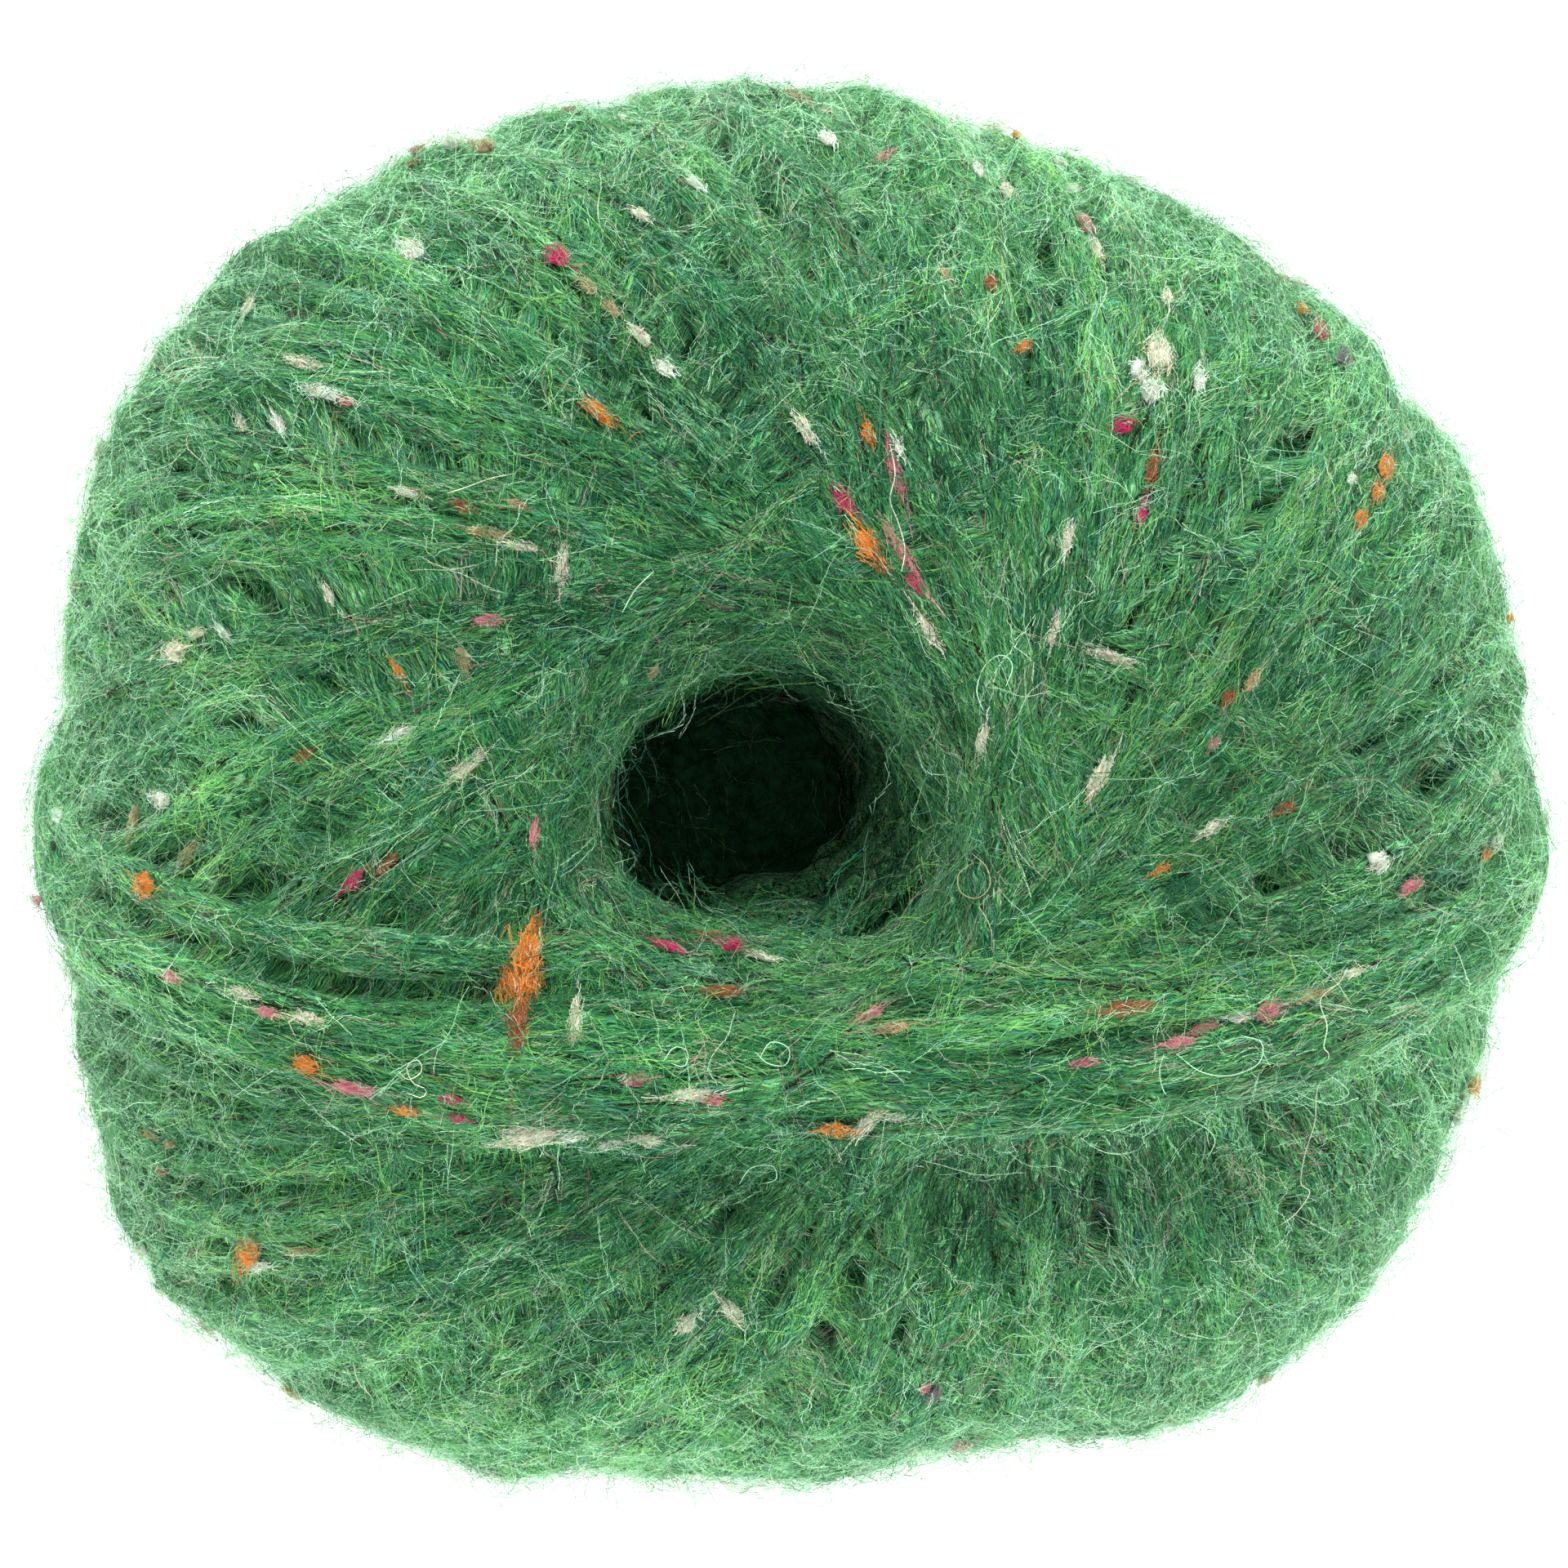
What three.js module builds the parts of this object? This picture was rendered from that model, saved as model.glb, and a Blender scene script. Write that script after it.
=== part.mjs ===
import * as THREE from "three";

// A centre-pull ball of brushed tweed yarn, standing on its end: the hollow opens upwards.
// Lengths are in millimetres and angles in degrees, counted from +X towards +Y.

// Body of the ball
const bellyRadius = 58.4;
const bellyHeight = 44;
const flatSpotRadius = 18;
const shoulderPower = 2.2;
const crestRadius = 21;

// Where on the climb from the flat spot to the crest the relief starts and the offset begins
const plainClimb = 0.1;
const offsetClimb = 0.55;
const bellySharpness = 1.5;

// Hollow at the top
const hollowX = -1.9;
const hollowY = -1.6;
const hollowRadius = 11.4;
const lipDepth = 12;
const hollowDepth = 52;
const hollowFloorRadius = 7;
const hollowLeanX = -2.5;
const hollowLeanY = 2;
const hollowFloorDish = 3;
const lobesLostBelow = 0.6;

// Inner turns that sag into the hollow on one side, with the shares of the spread where they are
// in full and where they end
const sag = { angle: -52, spread: 62, full: 0.3, end: 1.3, depth: 25, reach: 17, rise: 5.2 };

// Wound bundles: each is one closed turn over the ball, tangent to the hollow
const bundleCount = 27;
const bundleHalfWidth = 5.2;
const bundleRise = 2.4;
const innerTangent = 11.5;
const lastAngle = -90;

// Shares of a bundle's half width: where it covers the ones below in full, and where it ends
const coverInner = 0.6;
const coverOuter = 1.25;

// The last bundle lies as a ridge in front of the hollow
const ridgeTangent = 18.5;
const ridgeHalfWidth = 7;
const ridgeRise = 4.2;
const ridgeTurns = 4;
const hollowBelowRidge = 1.6;
const dipStart = 0.5;
const dipEnd = 1.3;
const dipLowest = 0.8;
const frontFade = 24;
const frontCalm = 0.7;
const bellyCalm = 0.35;
const bellySink = 0.5;

// Unevenness of the outline and of the mouth: how many lobes, how far they rise, where one peaks
const outlineLobes = [
  { lobes: 1, rise: 1.2, peak: -134 },
  { lobes: 2, rise: 1.4, peak: -4 },
  { lobes: 3, rise: 1.1, peak: -11 },
  { lobes: 4, rise: 1.8, peak: 45 },
  { lobes: 5, rise: 0.7, peak: 15 },
  { lobes: 6, rise: 0.7, peak: 30 },
  { lobes: 11, rise: 0.4, peak: 20 },
];
const mouthLobes = [
  { lobes: 2, rise: 1.5, peak: -8 },
  { lobes: 3, rise: 0.8, peak: -42 },
];

// Colour of the yarn, as red, green and blue, and its roughness
const yarnColour = [0.16, 0.42, 0.2];
const yarnRoughness = 0.95;

// Fineness of the surface
const columns = 92;
const bellyRings = 36;
const lipRings = 6;
const wallRings = 7;

const radians = THREE.MathUtils.degToRad;
const smooth = THREE.MathUtils.smoothstep;
const centre = new THREE.Vector3(hollowX, hollowY, bellyHeight);

// Half height of the body's profile, which reaches the floor at the flat spot's edge
const flatShare = Math.pow(flatSpotRadius / bellyRadius, shoulderPower);
const halfHeight = bellyHeight / Math.pow(1 - flatShare, 1 / shoulderPower);

function profileHeight(radius) {
  const share = Math.pow(radius / bellyRadius, shoulderPower);
  return halfHeight * Math.pow(Math.max(0, 1 - share), 1 / shoulderPower);
}

const crestHeight = bellyHeight + profileHeight(crestRadius);

function lobed(table, angle) {
  return table.reduce(
    (sum, row) => sum + row.rise * Math.cos(row.lobes * (angle - radians(row.peak))),
    0,
  );
}

// One turn is a tilted great circle through the ball's middle: it passes the hollow at `tangent`
// on the side that `angle` gives, and the base at the same distance on the opposite side.
function makeBundle(index) {
  const age = bundleCount - 1 - index;
  const late = Math.max(0, 1 - age / ridgeTurns);
  const angle = radians(lastAngle + (360 * age) / bundleCount);
  const tangent = THREE.MathUtils.lerp(innerTangent, ridgeTangent, late);
  const topHeight = profileHeight(crestRadius);
  const normal = new THREE.Vector3(
    topHeight * Math.cos(angle),
    topHeight * Math.sin(angle),
    -tangent,
  ).normalize();
  return {
    normal,
    halfWidth: THREE.MathUtils.lerp(bundleHalfWidth, ridgeHalfWidth, late),
    rise: THREE.MathUtils.lerp(bundleRise, ridgeRise, late * late),
  };
}

const bundles = Array.from({ length: bundleCount }, (_, index) => makeBundle(index));
const ridge = bundles[bundleCount - 1];

// Raised height of the winding at a point of the body: newer bundles lie over older ones
function windingRise(point) {
  const fromCentre = point.clone().sub(centre);
  const beyond = fromCentre.dot(ridge.normal);
  const front = beyond > 0 && fromCentre.y < 0 ? smooth(beyond, 0, ridge.halfWidth) : 0;
  const calm = 1 - (1 - frontCalm) * front;
  let rise = 0;
  for (const bundle of bundles) {
    const across = Math.abs(fromCentre.dot(bundle.normal)) / bundle.halfWidth;
    const cover = 1 - smooth(across, coverInner, coverOuter);
    const round = Math.sqrt(Math.max(0, 1 - across * across));
    const share = bundle === ridge ? 1 : calm;
    rise += cover * (bundle.rise * share * round - rise);
  }
  const dipEdge = dipEnd * ridge.halfWidth;
  const under = smooth(beyond, dipStart * ridge.halfWidth, dipEdge);
  const fade = 1 - smooth(beyond, dipEdge, dipEdge + frontFade);
  const facing = smooth(point.z, bellyHeight * dipLowest, crestHeight);
  return rise - (fromCentre.y < 0 ? hollowBelowRidge * under * fade * facing : 0);
}

// A point of the outer body: `turn` runs around, `climb` from the flat spot to the crest
function bodyPoint(turn, climb) {
  const startTilt = Math.acos(Math.pow(flatSpotRadius / bellyRadius, shoulderPower / 2));
  const endTilt = Math.acos(Math.pow(crestRadius / bellyRadius, shoulderPower / 2));
  const tilt = THREE.MathUtils.lerp(-startTilt, endTilt, climb);
  const radius = bellyRadius * Math.pow(Math.cos(tilt), 2 / shoulderPower);
  const side = Math.sign(tilt) * Math.pow(Math.abs(Math.sin(tilt)), 2 / shoulderPower);
  const towardHollow = smooth(climb, offsetClimb, 1);
  const belly = Math.pow(Math.cos(tilt), bellySharpness);
  const reach = radius + lobed(outlineLobes, turn) * belly;
  const point = new THREE.Vector3(
    reach * Math.cos(turn) + hollowX * towardHollow,
    reach * Math.sin(turn) + hollowY * towardHollow,
    bellyHeight + halfHeight * side,
  );
  const outward = new THREE.Vector3(
    Math.cos(turn) * Math.cos(tilt),
    Math.sin(turn) * Math.cos(tilt),
    Math.sin(tilt),
  );
  const grown = smooth(climb, 0, plainClimb);
  const level = bellySink * belly;
  const relief = windingRise(point) * (1 - bellyCalm * belly);
  return point.addScaledVector(outward, (relief - level) * grown);
}

// How far the inner turns sag into the hollow at a depth below the crest
function sagRise(turn, depth) {
  const away = Math.abs(((turn * 180) / Math.PI - sag.angle + 540) % 360 - 180);
  const around = 1 - smooth(away, sag.spread * sag.full, sag.spread * sag.end);
  const along = 1 - smooth(Math.abs(depth - sag.depth), 0, sag.reach);
  return sag.rise * around * along;
}

// A point of the hollow's rounded lip: `fall` runs from the crest to the straight wall
function lipPoint(turn, fall) {
  const edge = bodyPoint(turn, 1);
  const tilt = radians(90 * fall);
  const mouth = hollowRadius + lobed(mouthLobes, turn);
  const crest = Math.hypot(edge.x - hollowX, edge.y - hollowY);
  const radius = crest - (crest - mouth) * Math.sin(tilt);
  const depth = (edge.z - crestHeight + lipDepth) * (1 - Math.cos(tilt));
  const inner = radius - sagRise(turn, lipDepth * (1 - Math.cos(tilt)));
  return new THREE.Vector3(
    hollowX + inner * Math.cos(turn),
    hollowY + inner * Math.sin(turn),
    edge.z - depth,
  );
}

// A point of the hollow's wall: `down` runs from the lip to the floor
function wallPoint(turn, down) {
  const depth = lipDepth + (hollowDepth - lipDepth) * down;
  const mouth = hollowRadius + lobed(mouthLobes, turn) * (1 - lobesLostBelow * down);
  const taper = THREE.MathUtils.lerp(1, hollowFloorRadius / hollowRadius, down);
  const radius = mouth * taper - sagRise(turn, depth);
  return new THREE.Vector3(
    hollowX + hollowLeanX * down + radius * Math.cos(turn),
    hollowY + hollowLeanY * down + radius * Math.sin(turn),
    crestHeight - depth,
  );
}

// The rings run from the flat spot over the belly and the crest down to the hollow's floor
function makeRings() {
  const rings = [];
  const around = (place) =>
    rings.push(
      Array.from({ length: columns }, (_, i) => place((2 * Math.PI * i) / columns)),
    );
  around((turn) => {
    const half = flatSpotRadius / 2;
    return new THREE.Vector3(half * Math.cos(turn), half * Math.sin(turn), 0);
  });
  for (let i = 0; i <= bellyRings; i += 1) around((turn) => bodyPoint(turn, i / bellyRings));
  for (let i = 1; i <= lipRings; i += 1) around((turn) => lipPoint(turn, i / lipRings));
  for (let i = 1; i <= wallRings; i += 1) around((turn) => wallPoint(turn, i / wallRings));
  return rings;
}

// Joins the rings into one closed surface, with a middle point at each end
function closedSurface(rings, startPoint, endPoint) {
  const points = [startPoint, ...rings.flat(), endPoint];
  const faces = [];
  const at = (ring, i) => 1 + ring * columns + (i % columns);
  const last = points.length - 1;
  for (let i = 0; i < columns; i += 1) {
    faces.push(0, at(0, i + 1), at(0, i));
    for (let ring = 0; ring + 1 < rings.length; ring += 1) {
      faces.push(at(ring, i), at(ring, i + 1), at(ring + 1, i));
      faces.push(at(ring, i + 1), at(ring + 1, i + 1), at(ring + 1, i));
    }
    faces.push(at(rings.length - 1, i), at(rings.length - 1, i + 1), last);
  }
  const geometry = new THREE.BufferGeometry().setFromPoints(points);
  geometry.setIndex(faces);
  return geometry;
}

// The ball stands on its flat spot with its outline's middle over the origin
function makeBall() {
  const floor = new THREE.Vector3(
    hollowX + hollowLeanX,
    hollowY + hollowLeanY,
    crestHeight - hollowDepth - hollowFloorDish,
  );
  const geometry = closedSurface(makeRings(), new THREE.Vector3(0, 0, 0), floor);
  geometry.computeBoundingBox();
  const middle = geometry.boundingBox.getCenter(new THREE.Vector3());
  geometry.translate(-middle.x, -middle.y, 0);
  geometry.computeVertexNormals();
  const yarn = new THREE.MeshStandardMaterial({
    color: new THREE.Color(...yarnColour),
    roughness: yarnRoughness,
    metalness: 0,
  });
  const ball = new THREE.Mesh(geometry, yarn);
  ball.name = "yarn_ball";
  return ball;
}

const part = new THREE.Group();
part.add(makeBall());

export default part;
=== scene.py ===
import math
from collections import namedtuple

import bpy
import numpy as np
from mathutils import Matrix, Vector
from mathutils.bvhtree import BVHTree


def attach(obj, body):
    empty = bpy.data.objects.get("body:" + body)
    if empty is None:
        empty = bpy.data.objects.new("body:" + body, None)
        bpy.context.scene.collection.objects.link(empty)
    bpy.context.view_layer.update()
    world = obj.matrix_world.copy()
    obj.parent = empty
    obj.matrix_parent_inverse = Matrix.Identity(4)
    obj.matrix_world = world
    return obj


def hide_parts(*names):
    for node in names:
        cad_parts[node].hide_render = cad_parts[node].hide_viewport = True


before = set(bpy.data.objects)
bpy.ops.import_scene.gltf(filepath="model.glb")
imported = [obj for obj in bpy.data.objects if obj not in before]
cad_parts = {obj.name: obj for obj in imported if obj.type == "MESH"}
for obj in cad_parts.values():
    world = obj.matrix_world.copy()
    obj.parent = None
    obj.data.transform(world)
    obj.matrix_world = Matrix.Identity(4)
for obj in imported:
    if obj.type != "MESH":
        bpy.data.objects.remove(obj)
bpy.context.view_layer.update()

# A ball of brushed tweed yarn: its single turns, their fuzz, the coloured flecks and the stray fibres.
# Lengths are in metres.

MM = 0.001
NODE = "yarn_ball"
RANDOM = np.random.default_rng(1873)

# Sizes of the body, as the solid has them
BELLY_RADIUS = 58.4 * MM
BELLY_HEIGHT = 44 * MM
HALF_HEIGHT = 45.6 * MM
SHOULDER_POWER = 2.2
HOLLOW = np.array([-1.7, -1.6]) * MM
HOLLOW_RADIUS = 11.4 * MM
MOUTH_LOBES = [(2, 1.5, -8), (3, 0.8, -42)]
LAST_ANGLE = -90

# The photograph's frame: its size in pixels, the ball's middle in it, and its scale at the belly
PHOTO_SIDE = 1920
PHOTO_MIDDLE = (965, 960)
PIXELS_PER_MM = 15.42
CAMERA_HEIGHT = 0.95
SENSOR = 36


def linked(name, data):
    """A new object of the scene with this data."""
    made = bpy.data.objects.new(name, data)
    bpy.context.scene.collection.objects.link(made)
    return made


# Camera: straight above the hollow, as far off as a product photograph is taken
def make_camera():
    shown = PHOTO_SIDE / PIXELS_PER_MM * MM
    data = bpy.data.cameras.new("camera")
    data.sensor_width = data.sensor_height = SENSOR
    data.lens = SENSOR * CAMERA_HEIGHT / shown
    data.clip_start, data.clip_end = 0.05, 10
    camera = linked("camera", data)
    right = (PHOTO_SIDE / 2 - PHOTO_MIDDLE[0]) / PIXELS_PER_MM * MM
    up = (PHOTO_MIDDLE[1] - PHOTO_SIDE / 2) / PIXELS_PER_MM * MM
    camera.location = (right, up, BELLY_HEIGHT + CAMERA_HEIGHT)
    bpy.context.scene.camera = camera
    return camera


CAMERA = make_camera()


def through_pixel(x, y):
    """The camera's place and the direction through a pixel of the photograph's frame."""
    step = MM / PIXELS_PER_MM / CAMERA_HEIGHT
    half = PHOTO_SIDE / 2
    direction = Vector(((x - half) * step, (half - y) * step, -1)).normalized()
    return CAMERA.location.copy(), direction


# Small vector helpers on arrays whose last axis is x, y, z
def unit(v):
    return v / np.maximum(np.linalg.norm(v, axis=-1, keepdims=True), 1e-12)


def turned(v, axis, angle):
    """v turned about a unit axis by an angle in radians, for arrays of vectors."""
    angle = np.asarray(angle)[..., None]
    along = (v * axis).sum(-1, keepdims=True) * axis
    return along + np.cos(angle) * (v - along) + np.sin(angle) * np.cross(axis, v)


def ease(value, low, high):
    """0 below low, 1 above high and smooth between."""
    t = np.clip((value - low) / (high - low), 0, 1)
    return t * t * (3 - 2 * t)


# Meshes from arrays
def fill(target, key, values, kind=np.float32):
    """Writes values into one of a mesh's own arrays."""
    target.foreach_set(key, np.ascontiguousarray(values, kind).ravel())


def own(piece, replaced=False):
    """Ties a piece to the ball's only body and its yarn."""
    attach(piece, "root")
    if replaced:
        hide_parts(NODE)
    return piece


def mesh_piece(name, points, faces, material, shade=None, facing=None, maps=None, replaced=False):
    """A piece from points and from faces that all have as many corners.

    shade is the points' place on the shade map, facing their normals, and maps belong to the faces' corners.
    """
    mesh = bpy.data.meshes.new(name)
    mesh.vertices.add(len(points))
    fill(mesh.vertices, "co", points)
    mesh.loops.add(faces.size)
    fill(mesh.loops, "vertex_index", faces, np.int32)
    mesh.polygons.add(len(faces))
    fill(mesh.polygons, "loop_start", np.arange(0, faces.size, faces.shape[1]), np.int32)
    if shade is not None:
        maps = dict.fromkeys(("shade", "OFBake"), shade[faces.ravel()])
    for layer, values in (maps or {}).items():
        fill(mesh.uv_layers.new(name=layer).data, "uv", values)
    mesh.update(calc_edges=True)
    fill(mesh.polygons, "use_smooth", np.full(len(faces), True), bool)
    if facing is not None:
        fill(mesh.attributes.new("custom_normal", "FLOAT_VECTOR", "POINT").data, "vector", facing)
    mesh.materials.append(material)
    return own(linked(name, mesh), replaced)


# Materials: a ramp of the dyed fibres' colours, read along one axis of a piece's shade map
GREENS = [
    (0.00, (0.007, 0.044, 0.024)),
    (0.14, (0.012, 0.088, 0.040)),
    (0.30, (0.026, 0.168, 0.060)),
    (0.46, (0.068, 0.298, 0.094)),
    (0.58, (0.165, 0.445, 0.112)),
    (0.645, (0.275, 0.580, 0.158)),
    (0.70, (0.028, 0.165, 0.130)),
    (0.80, (0.105, 0.340, 0.240)),
    (0.87, (0.320, 0.595, 0.375)),
    (0.91, (0.480, 0.730, 0.490)),
    (0.935, (0.460, 0.390, 0.300)),
    (0.965, (0.210, 0.110, 0.105)),
    (0.985, (0.045, 0.032, 0.040)),
]
HUES = {
    "white": (0.80, 0.84, 0.76),
    "cream": (0.76, 0.73, 0.60),
    "tan": (0.48, 0.36, 0.20),
    "orange": (0.76, 0.26, 0.045),
    "rust": (0.36, 0.11, 0.045),
    "pink": (0.66, 0.23, 0.28),
    "magenta": (0.60, 0.03, 0.15),
    "grey": (0.20, 0.19, 0.20),
    "dark": (0.018, 0.012, 0.012),
    "mint": (0.50, 0.76, 0.56),
}


def put(tree, node, inputs):
    """Sets a node's inputs to values, or links them to other nodes' outputs."""
    for name, value in inputs.items():
        if isinstance(value, bpy.types.NodeSocket):
            tree.links.new(value, node.inputs[name])
        else:
            node.inputs[name].default_value = value


def add(tree, kind, inputs, **settings):
    """A new node of a material."""
    node = tree.nodes.new("ShaderNode" + kind)
    for name, value in settings.items():
        setattr(node, name, value)
    put(tree, node, inputs)
    return node


def new_material(name):
    material = bpy.data.materials.new(name)
    material.use_nodes = True
    return material, material.node_tree, material.node_tree.nodes["Principled BSDF"]


def ramp(tree, place, stops, steps=False):
    """The colours of a ramp at a place on it."""
    node = add(tree, "ValToRGB", {"Fac": place})
    node.color_ramp.interpolation = "CONSTANT" if steps else "LINEAR"
    points = node.color_ramp.elements
    while len(points) > 1:
        points.remove(points[-1])
    for i, (stop, colour) in enumerate(stops):
        point = points[0] if i == 0 else points.new(stop)
        point.position = stop
        point.color = (*colour, 1)
    return node.outputs["Color"]


def noise(tree, place, scale, detail, dimensions="2D"):
    inputs = {"Vector": place, "Scale": scale, "Detail": detail}
    return add(tree, "TexNoise", inputs, noise_dimensions=dimensions).outputs["Fac"]


DARKEST, LIGHTEST = 0.55, 1.45


def fibre_material(name, stops, steps=False, glow=0.35, sheen=0.75):
    """Fine fibres: a colour for each by its place on the shade map, lighter towards one side of it."""
    material, tree, shader = new_material(name)
    place = add(tree, "UVMap", {}, uv_map="shade").outputs["UV"]
    axes = add(tree, "SeparateXYZ", {"Vector": place}).outputs
    light = add(tree, "MapRange", {"Value": axes["Y"], "To Min": DARKEST, "To Max": LIGHTEST})
    tint = {0: ramp(tree, axes["X"], stops, steps), "Scale": light.outputs["Result"]}
    tinted = add(tree, "VectorMath", tint, operation="SCALE").outputs["Vector"]
    put(tree, shader, {
        "Base Color": tinted, "Roughness": 0.75, "Specular IOR Level": 0.0, "Sheen Weight": sheen,
        "Sheen Roughness": 0.40, "Sheen Tint": (0.60, 1.0, 0.64, 1),
    })
    through = add(tree, "BsdfTranslucent", {"Color": tinted}).outputs["BSDF"]
    both = add(tree, "MixShader", {"Fac": glow, 1: shader.outputs["BSDF"], 2: through})
    put(tree, tree.nodes["Material Output"], {"Surface": both.outputs["Shader"]})
    return material


def streaks(tree, place, scale, seed, detail, wobble):
    """Fine fibres along the yarn: a noise stretched along it, whose lines wander with wobble."""
    stretched = add(tree, "Mapping", {"Vector": place, "Scale": scale, "Location": (seed, 2 * seed, 0)})
    moved = add(tree, "VectorMath", {0: stretched.outputs["Vector"], 1: wobble}, operation="ADD")
    return noise(tree, moved.outputs["Vector"], 1, detail)


def turn_material():
    """The twisted single turns: fine wavy fibres of many greens, drawn along the yarn."""
    material, tree, shader = new_material("spun_yarn")
    twist = add(tree, "UVMap", {}, uv_map="twist").outputs["UV"]
    waves = add(tree, "Math", {0: noise(tree, twist, 0.55, 1), 1: 7.0}, operation="MULTIPLY")
    wobble = add(tree, "CombineXYZ", {"Y": waves.outputs[0]}).outputs["Vector"]
    fine = streaks(tree, twist, (0.45, 7.0, 1), 3.1, 1.0, wobble)
    greys = ((0.34, 0.08), (0.46, 0.30), (0.54, 0.65), (0.66, 1.40))
    shade = ramp(tree, fine, [(stop, (grey,) * 3) for stop, grey in greys])
    hue = ramp(tree, streaks(tree, twist, (0.22, 2.6, 1), 17.3, 1.5, wobble), [
        (0.28, (0.070, 0.280, 0.180)),
        (0.40, (0.045, 0.225, 0.085)),
        (0.50, (0.085, 0.320, 0.115)),
        (0.58, (0.135, 0.390, 0.110)),
        (0.66, (0.200, 0.450, 0.240)),
        (0.74, (0.180, 0.190, 0.150)),
    ])
    both = add(tree, "VectorMath", {0: hue, 1: shade}, operation="MULTIPLY")
    bump = add(tree, "Bump", {"Strength": 0.8, "Distance": 0.2 * MM, "Height": fine})
    put(tree, shader, {
        "Base Color": both.outputs["Vector"], "Normal": bump.outputs["Normal"], "Roughness": 0.9,
        "Specular IOR Level": 0.0, "Sheen Weight": 0.35, "Sheen Roughness": 0.5,
        "Sheen Tint": (0.45, 0.85, 0.5, 1),
    })
    return material


def core_material():
    """Packed yarn under the outer turns, in mottled darker greens."""
    material, tree, shader = new_material("packed_yarn")
    mottle = noise(tree, add(tree, "TexCoord", {}).outputs["Object"], 900, 5, "3D")
    colour = ramp(tree, mottle, [(0.35, (0.020, 0.090, 0.040)), (0.65, (0.060, 0.250, 0.100))])
    put(tree, shader, {"Base Color": colour, "Roughness": 1, "Specular IOR Level": 0})
    return material


# The solid's surface, which everything is laid on
def read_node():
    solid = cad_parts[NODE]
    mesh = solid.data
    points = np.empty(len(mesh.vertices) * 3, np.float32)
    mesh.vertices.foreach_get("co", points)
    mesh.calc_loop_triangles()
    faces = np.empty(len(mesh.loop_triangles) * 3, np.int32)
    mesh.loop_triangles.foreach_get("vertices", faces)
    points = points.reshape(-1, 3).astype(float)
    faces = faces.reshape(-1, 3)
    _, index, back = np.unique(np.round(points, 7), axis=0, return_index=True, return_inverse=True)
    faces = back.reshape(-1)[faces]
    faces = faces[(faces != np.roll(faces, -1, 1)).all(1)]
    return points[index], faces


def point_normals(points, faces):
    flat = np.cross(points[faces[:, 1]] - points[faces[:, 0]], points[faces[:, 2]] - points[faces[:, 0]])
    total = np.zeros_like(points)
    for corner in range(3):
        np.add.at(total, faces[:, corner], flat)
    return unit(total)


SKIN_POINTS, SKIN_FACES = read_node()
SKIN_NORMALS = point_normals(SKIN_POINTS, SKIN_FACES)
SKIN = BVHTree.FromPolygons(SKIN_POINTS.tolist(), SKIN_FACES.tolist())


def onto(tree, starts, directions, far):
    """Where rays meet a surface: the points, and the faces met, or -1."""
    cast = tree.ray_cast
    met = [cast(start, direction, far) for start, direction in zip(starts.tolist(), directions.tolist())]
    faces = np.array([-1 if m[2] is None else m[2] for m in met])
    hits = np.array([start if m[2] is None else m[0][:] for start, m in zip(starts.tolist(), met)], float)
    return hits, faces


def from_axis(points):
    """How far points are from the hollow's upright axis."""
    return np.hypot(points[:, 0] - HOLLOW[0], points[:, 1] - HOLLOW[1])


def body_guess(directions):
    """Points of the plain body without its hollow, in given directions from its middle, and its normals."""
    flat = np.hypot(directions[..., 0], directions[..., 1]) / BELLY_RADIUS
    high = np.abs(directions[..., 2]) / HALF_HEIGHT
    reach = (flat**SHOULDER_POWER + high**SHOULDER_POWER) ** (-1 / SHOULDER_POWER)
    points = directions * reach[..., None]
    pull = np.hypot(points[..., 0], points[..., 1]) ** (SHOULDER_POWER - 2)
    drop = np.sign(points[..., 2]) * np.abs(points[..., 2]) ** (SHOULDER_POWER - 1)
    normals = np.stack([
        points[..., 0] * pull / BELLY_RADIUS**SHOULDER_POWER,
        points[..., 1] * pull / BELLY_RADIUS**SHOULDER_POWER,
        drop / HALF_HEIGHT**SHOULDER_POWER,
    ], -1)
    return points + [HOLLOW[0], HOLLOW[1], BELLY_HEIGHT], unit(normals)


# The hollow, as the solid has it, and the turns that line it
CREST_HEIGHT = 87.2 * MM
LIP_DEPTH = 12 * MM
HOLLOW_DEPTH = 52 * MM
LEAN = (-2.5 * MM, 2 * MM)
INNER_DEPTHS = (5, 46)
INNER_SLOPES = (0.15, 0.55)
INNER_SUNK = 2.4 * MM

# The single turns: tilted great circles, each tangent to the hollow's mouth, the newest on top
TURNS = 96
RIDGE_TURNS = 6
OUTER_TURNS = TURNS + RIDGE_TURNS
INNER_TURNS = 14
ALL_TURNS = OUTER_TURNS + INNER_TURNS
TURN_STEPS = 120
TURN_SIDES = 4
TURN_WRAP = 28
TURN_FLATNESS = 0.85
YARN_RADIUS = 1.65 * MM
MOUTH_MARGIN = 2.3 * MM
BELLY_FUZZ = 0.2 * MM
OUTER_TANGENT = 18.0 * MM
LATE_SHARE = 0.15

# Swellings of the belly: the angle of each, how far it rises and how wide it spreads
BELLY_BUMPS = [
    (135, 1.2, 14), (168, 1.1, 10), (203, 0.5, 10), (257, -1.4, 7), (285, -2.0, 8), (302, 1.5, 8),
    (345, 0.6, 9), (105, 0.5, 9), (60, 0.6, 9),
]

# How unevenly the turns lie, in millimetres, radians and degrees, and the depths of their layers
PAST_MOUTH = 2.6
RIDGE_TANGENTS = (12.5, 24.0)
RIDGE_SPREAD = 1.5
PASSING_HEIGHT = 0.95
WANDER = 0.014
OLDEST_LAYER = -3.6 * MM
LAYERS_RISE = 1.6 * MM
LAYERS_WAVE = 0.42 * MM
RIDGE_LAYER = 0.9 * MM
DEEPEST_HIT = -9 * MM
INNER_REACH = 15 * MM


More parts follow.
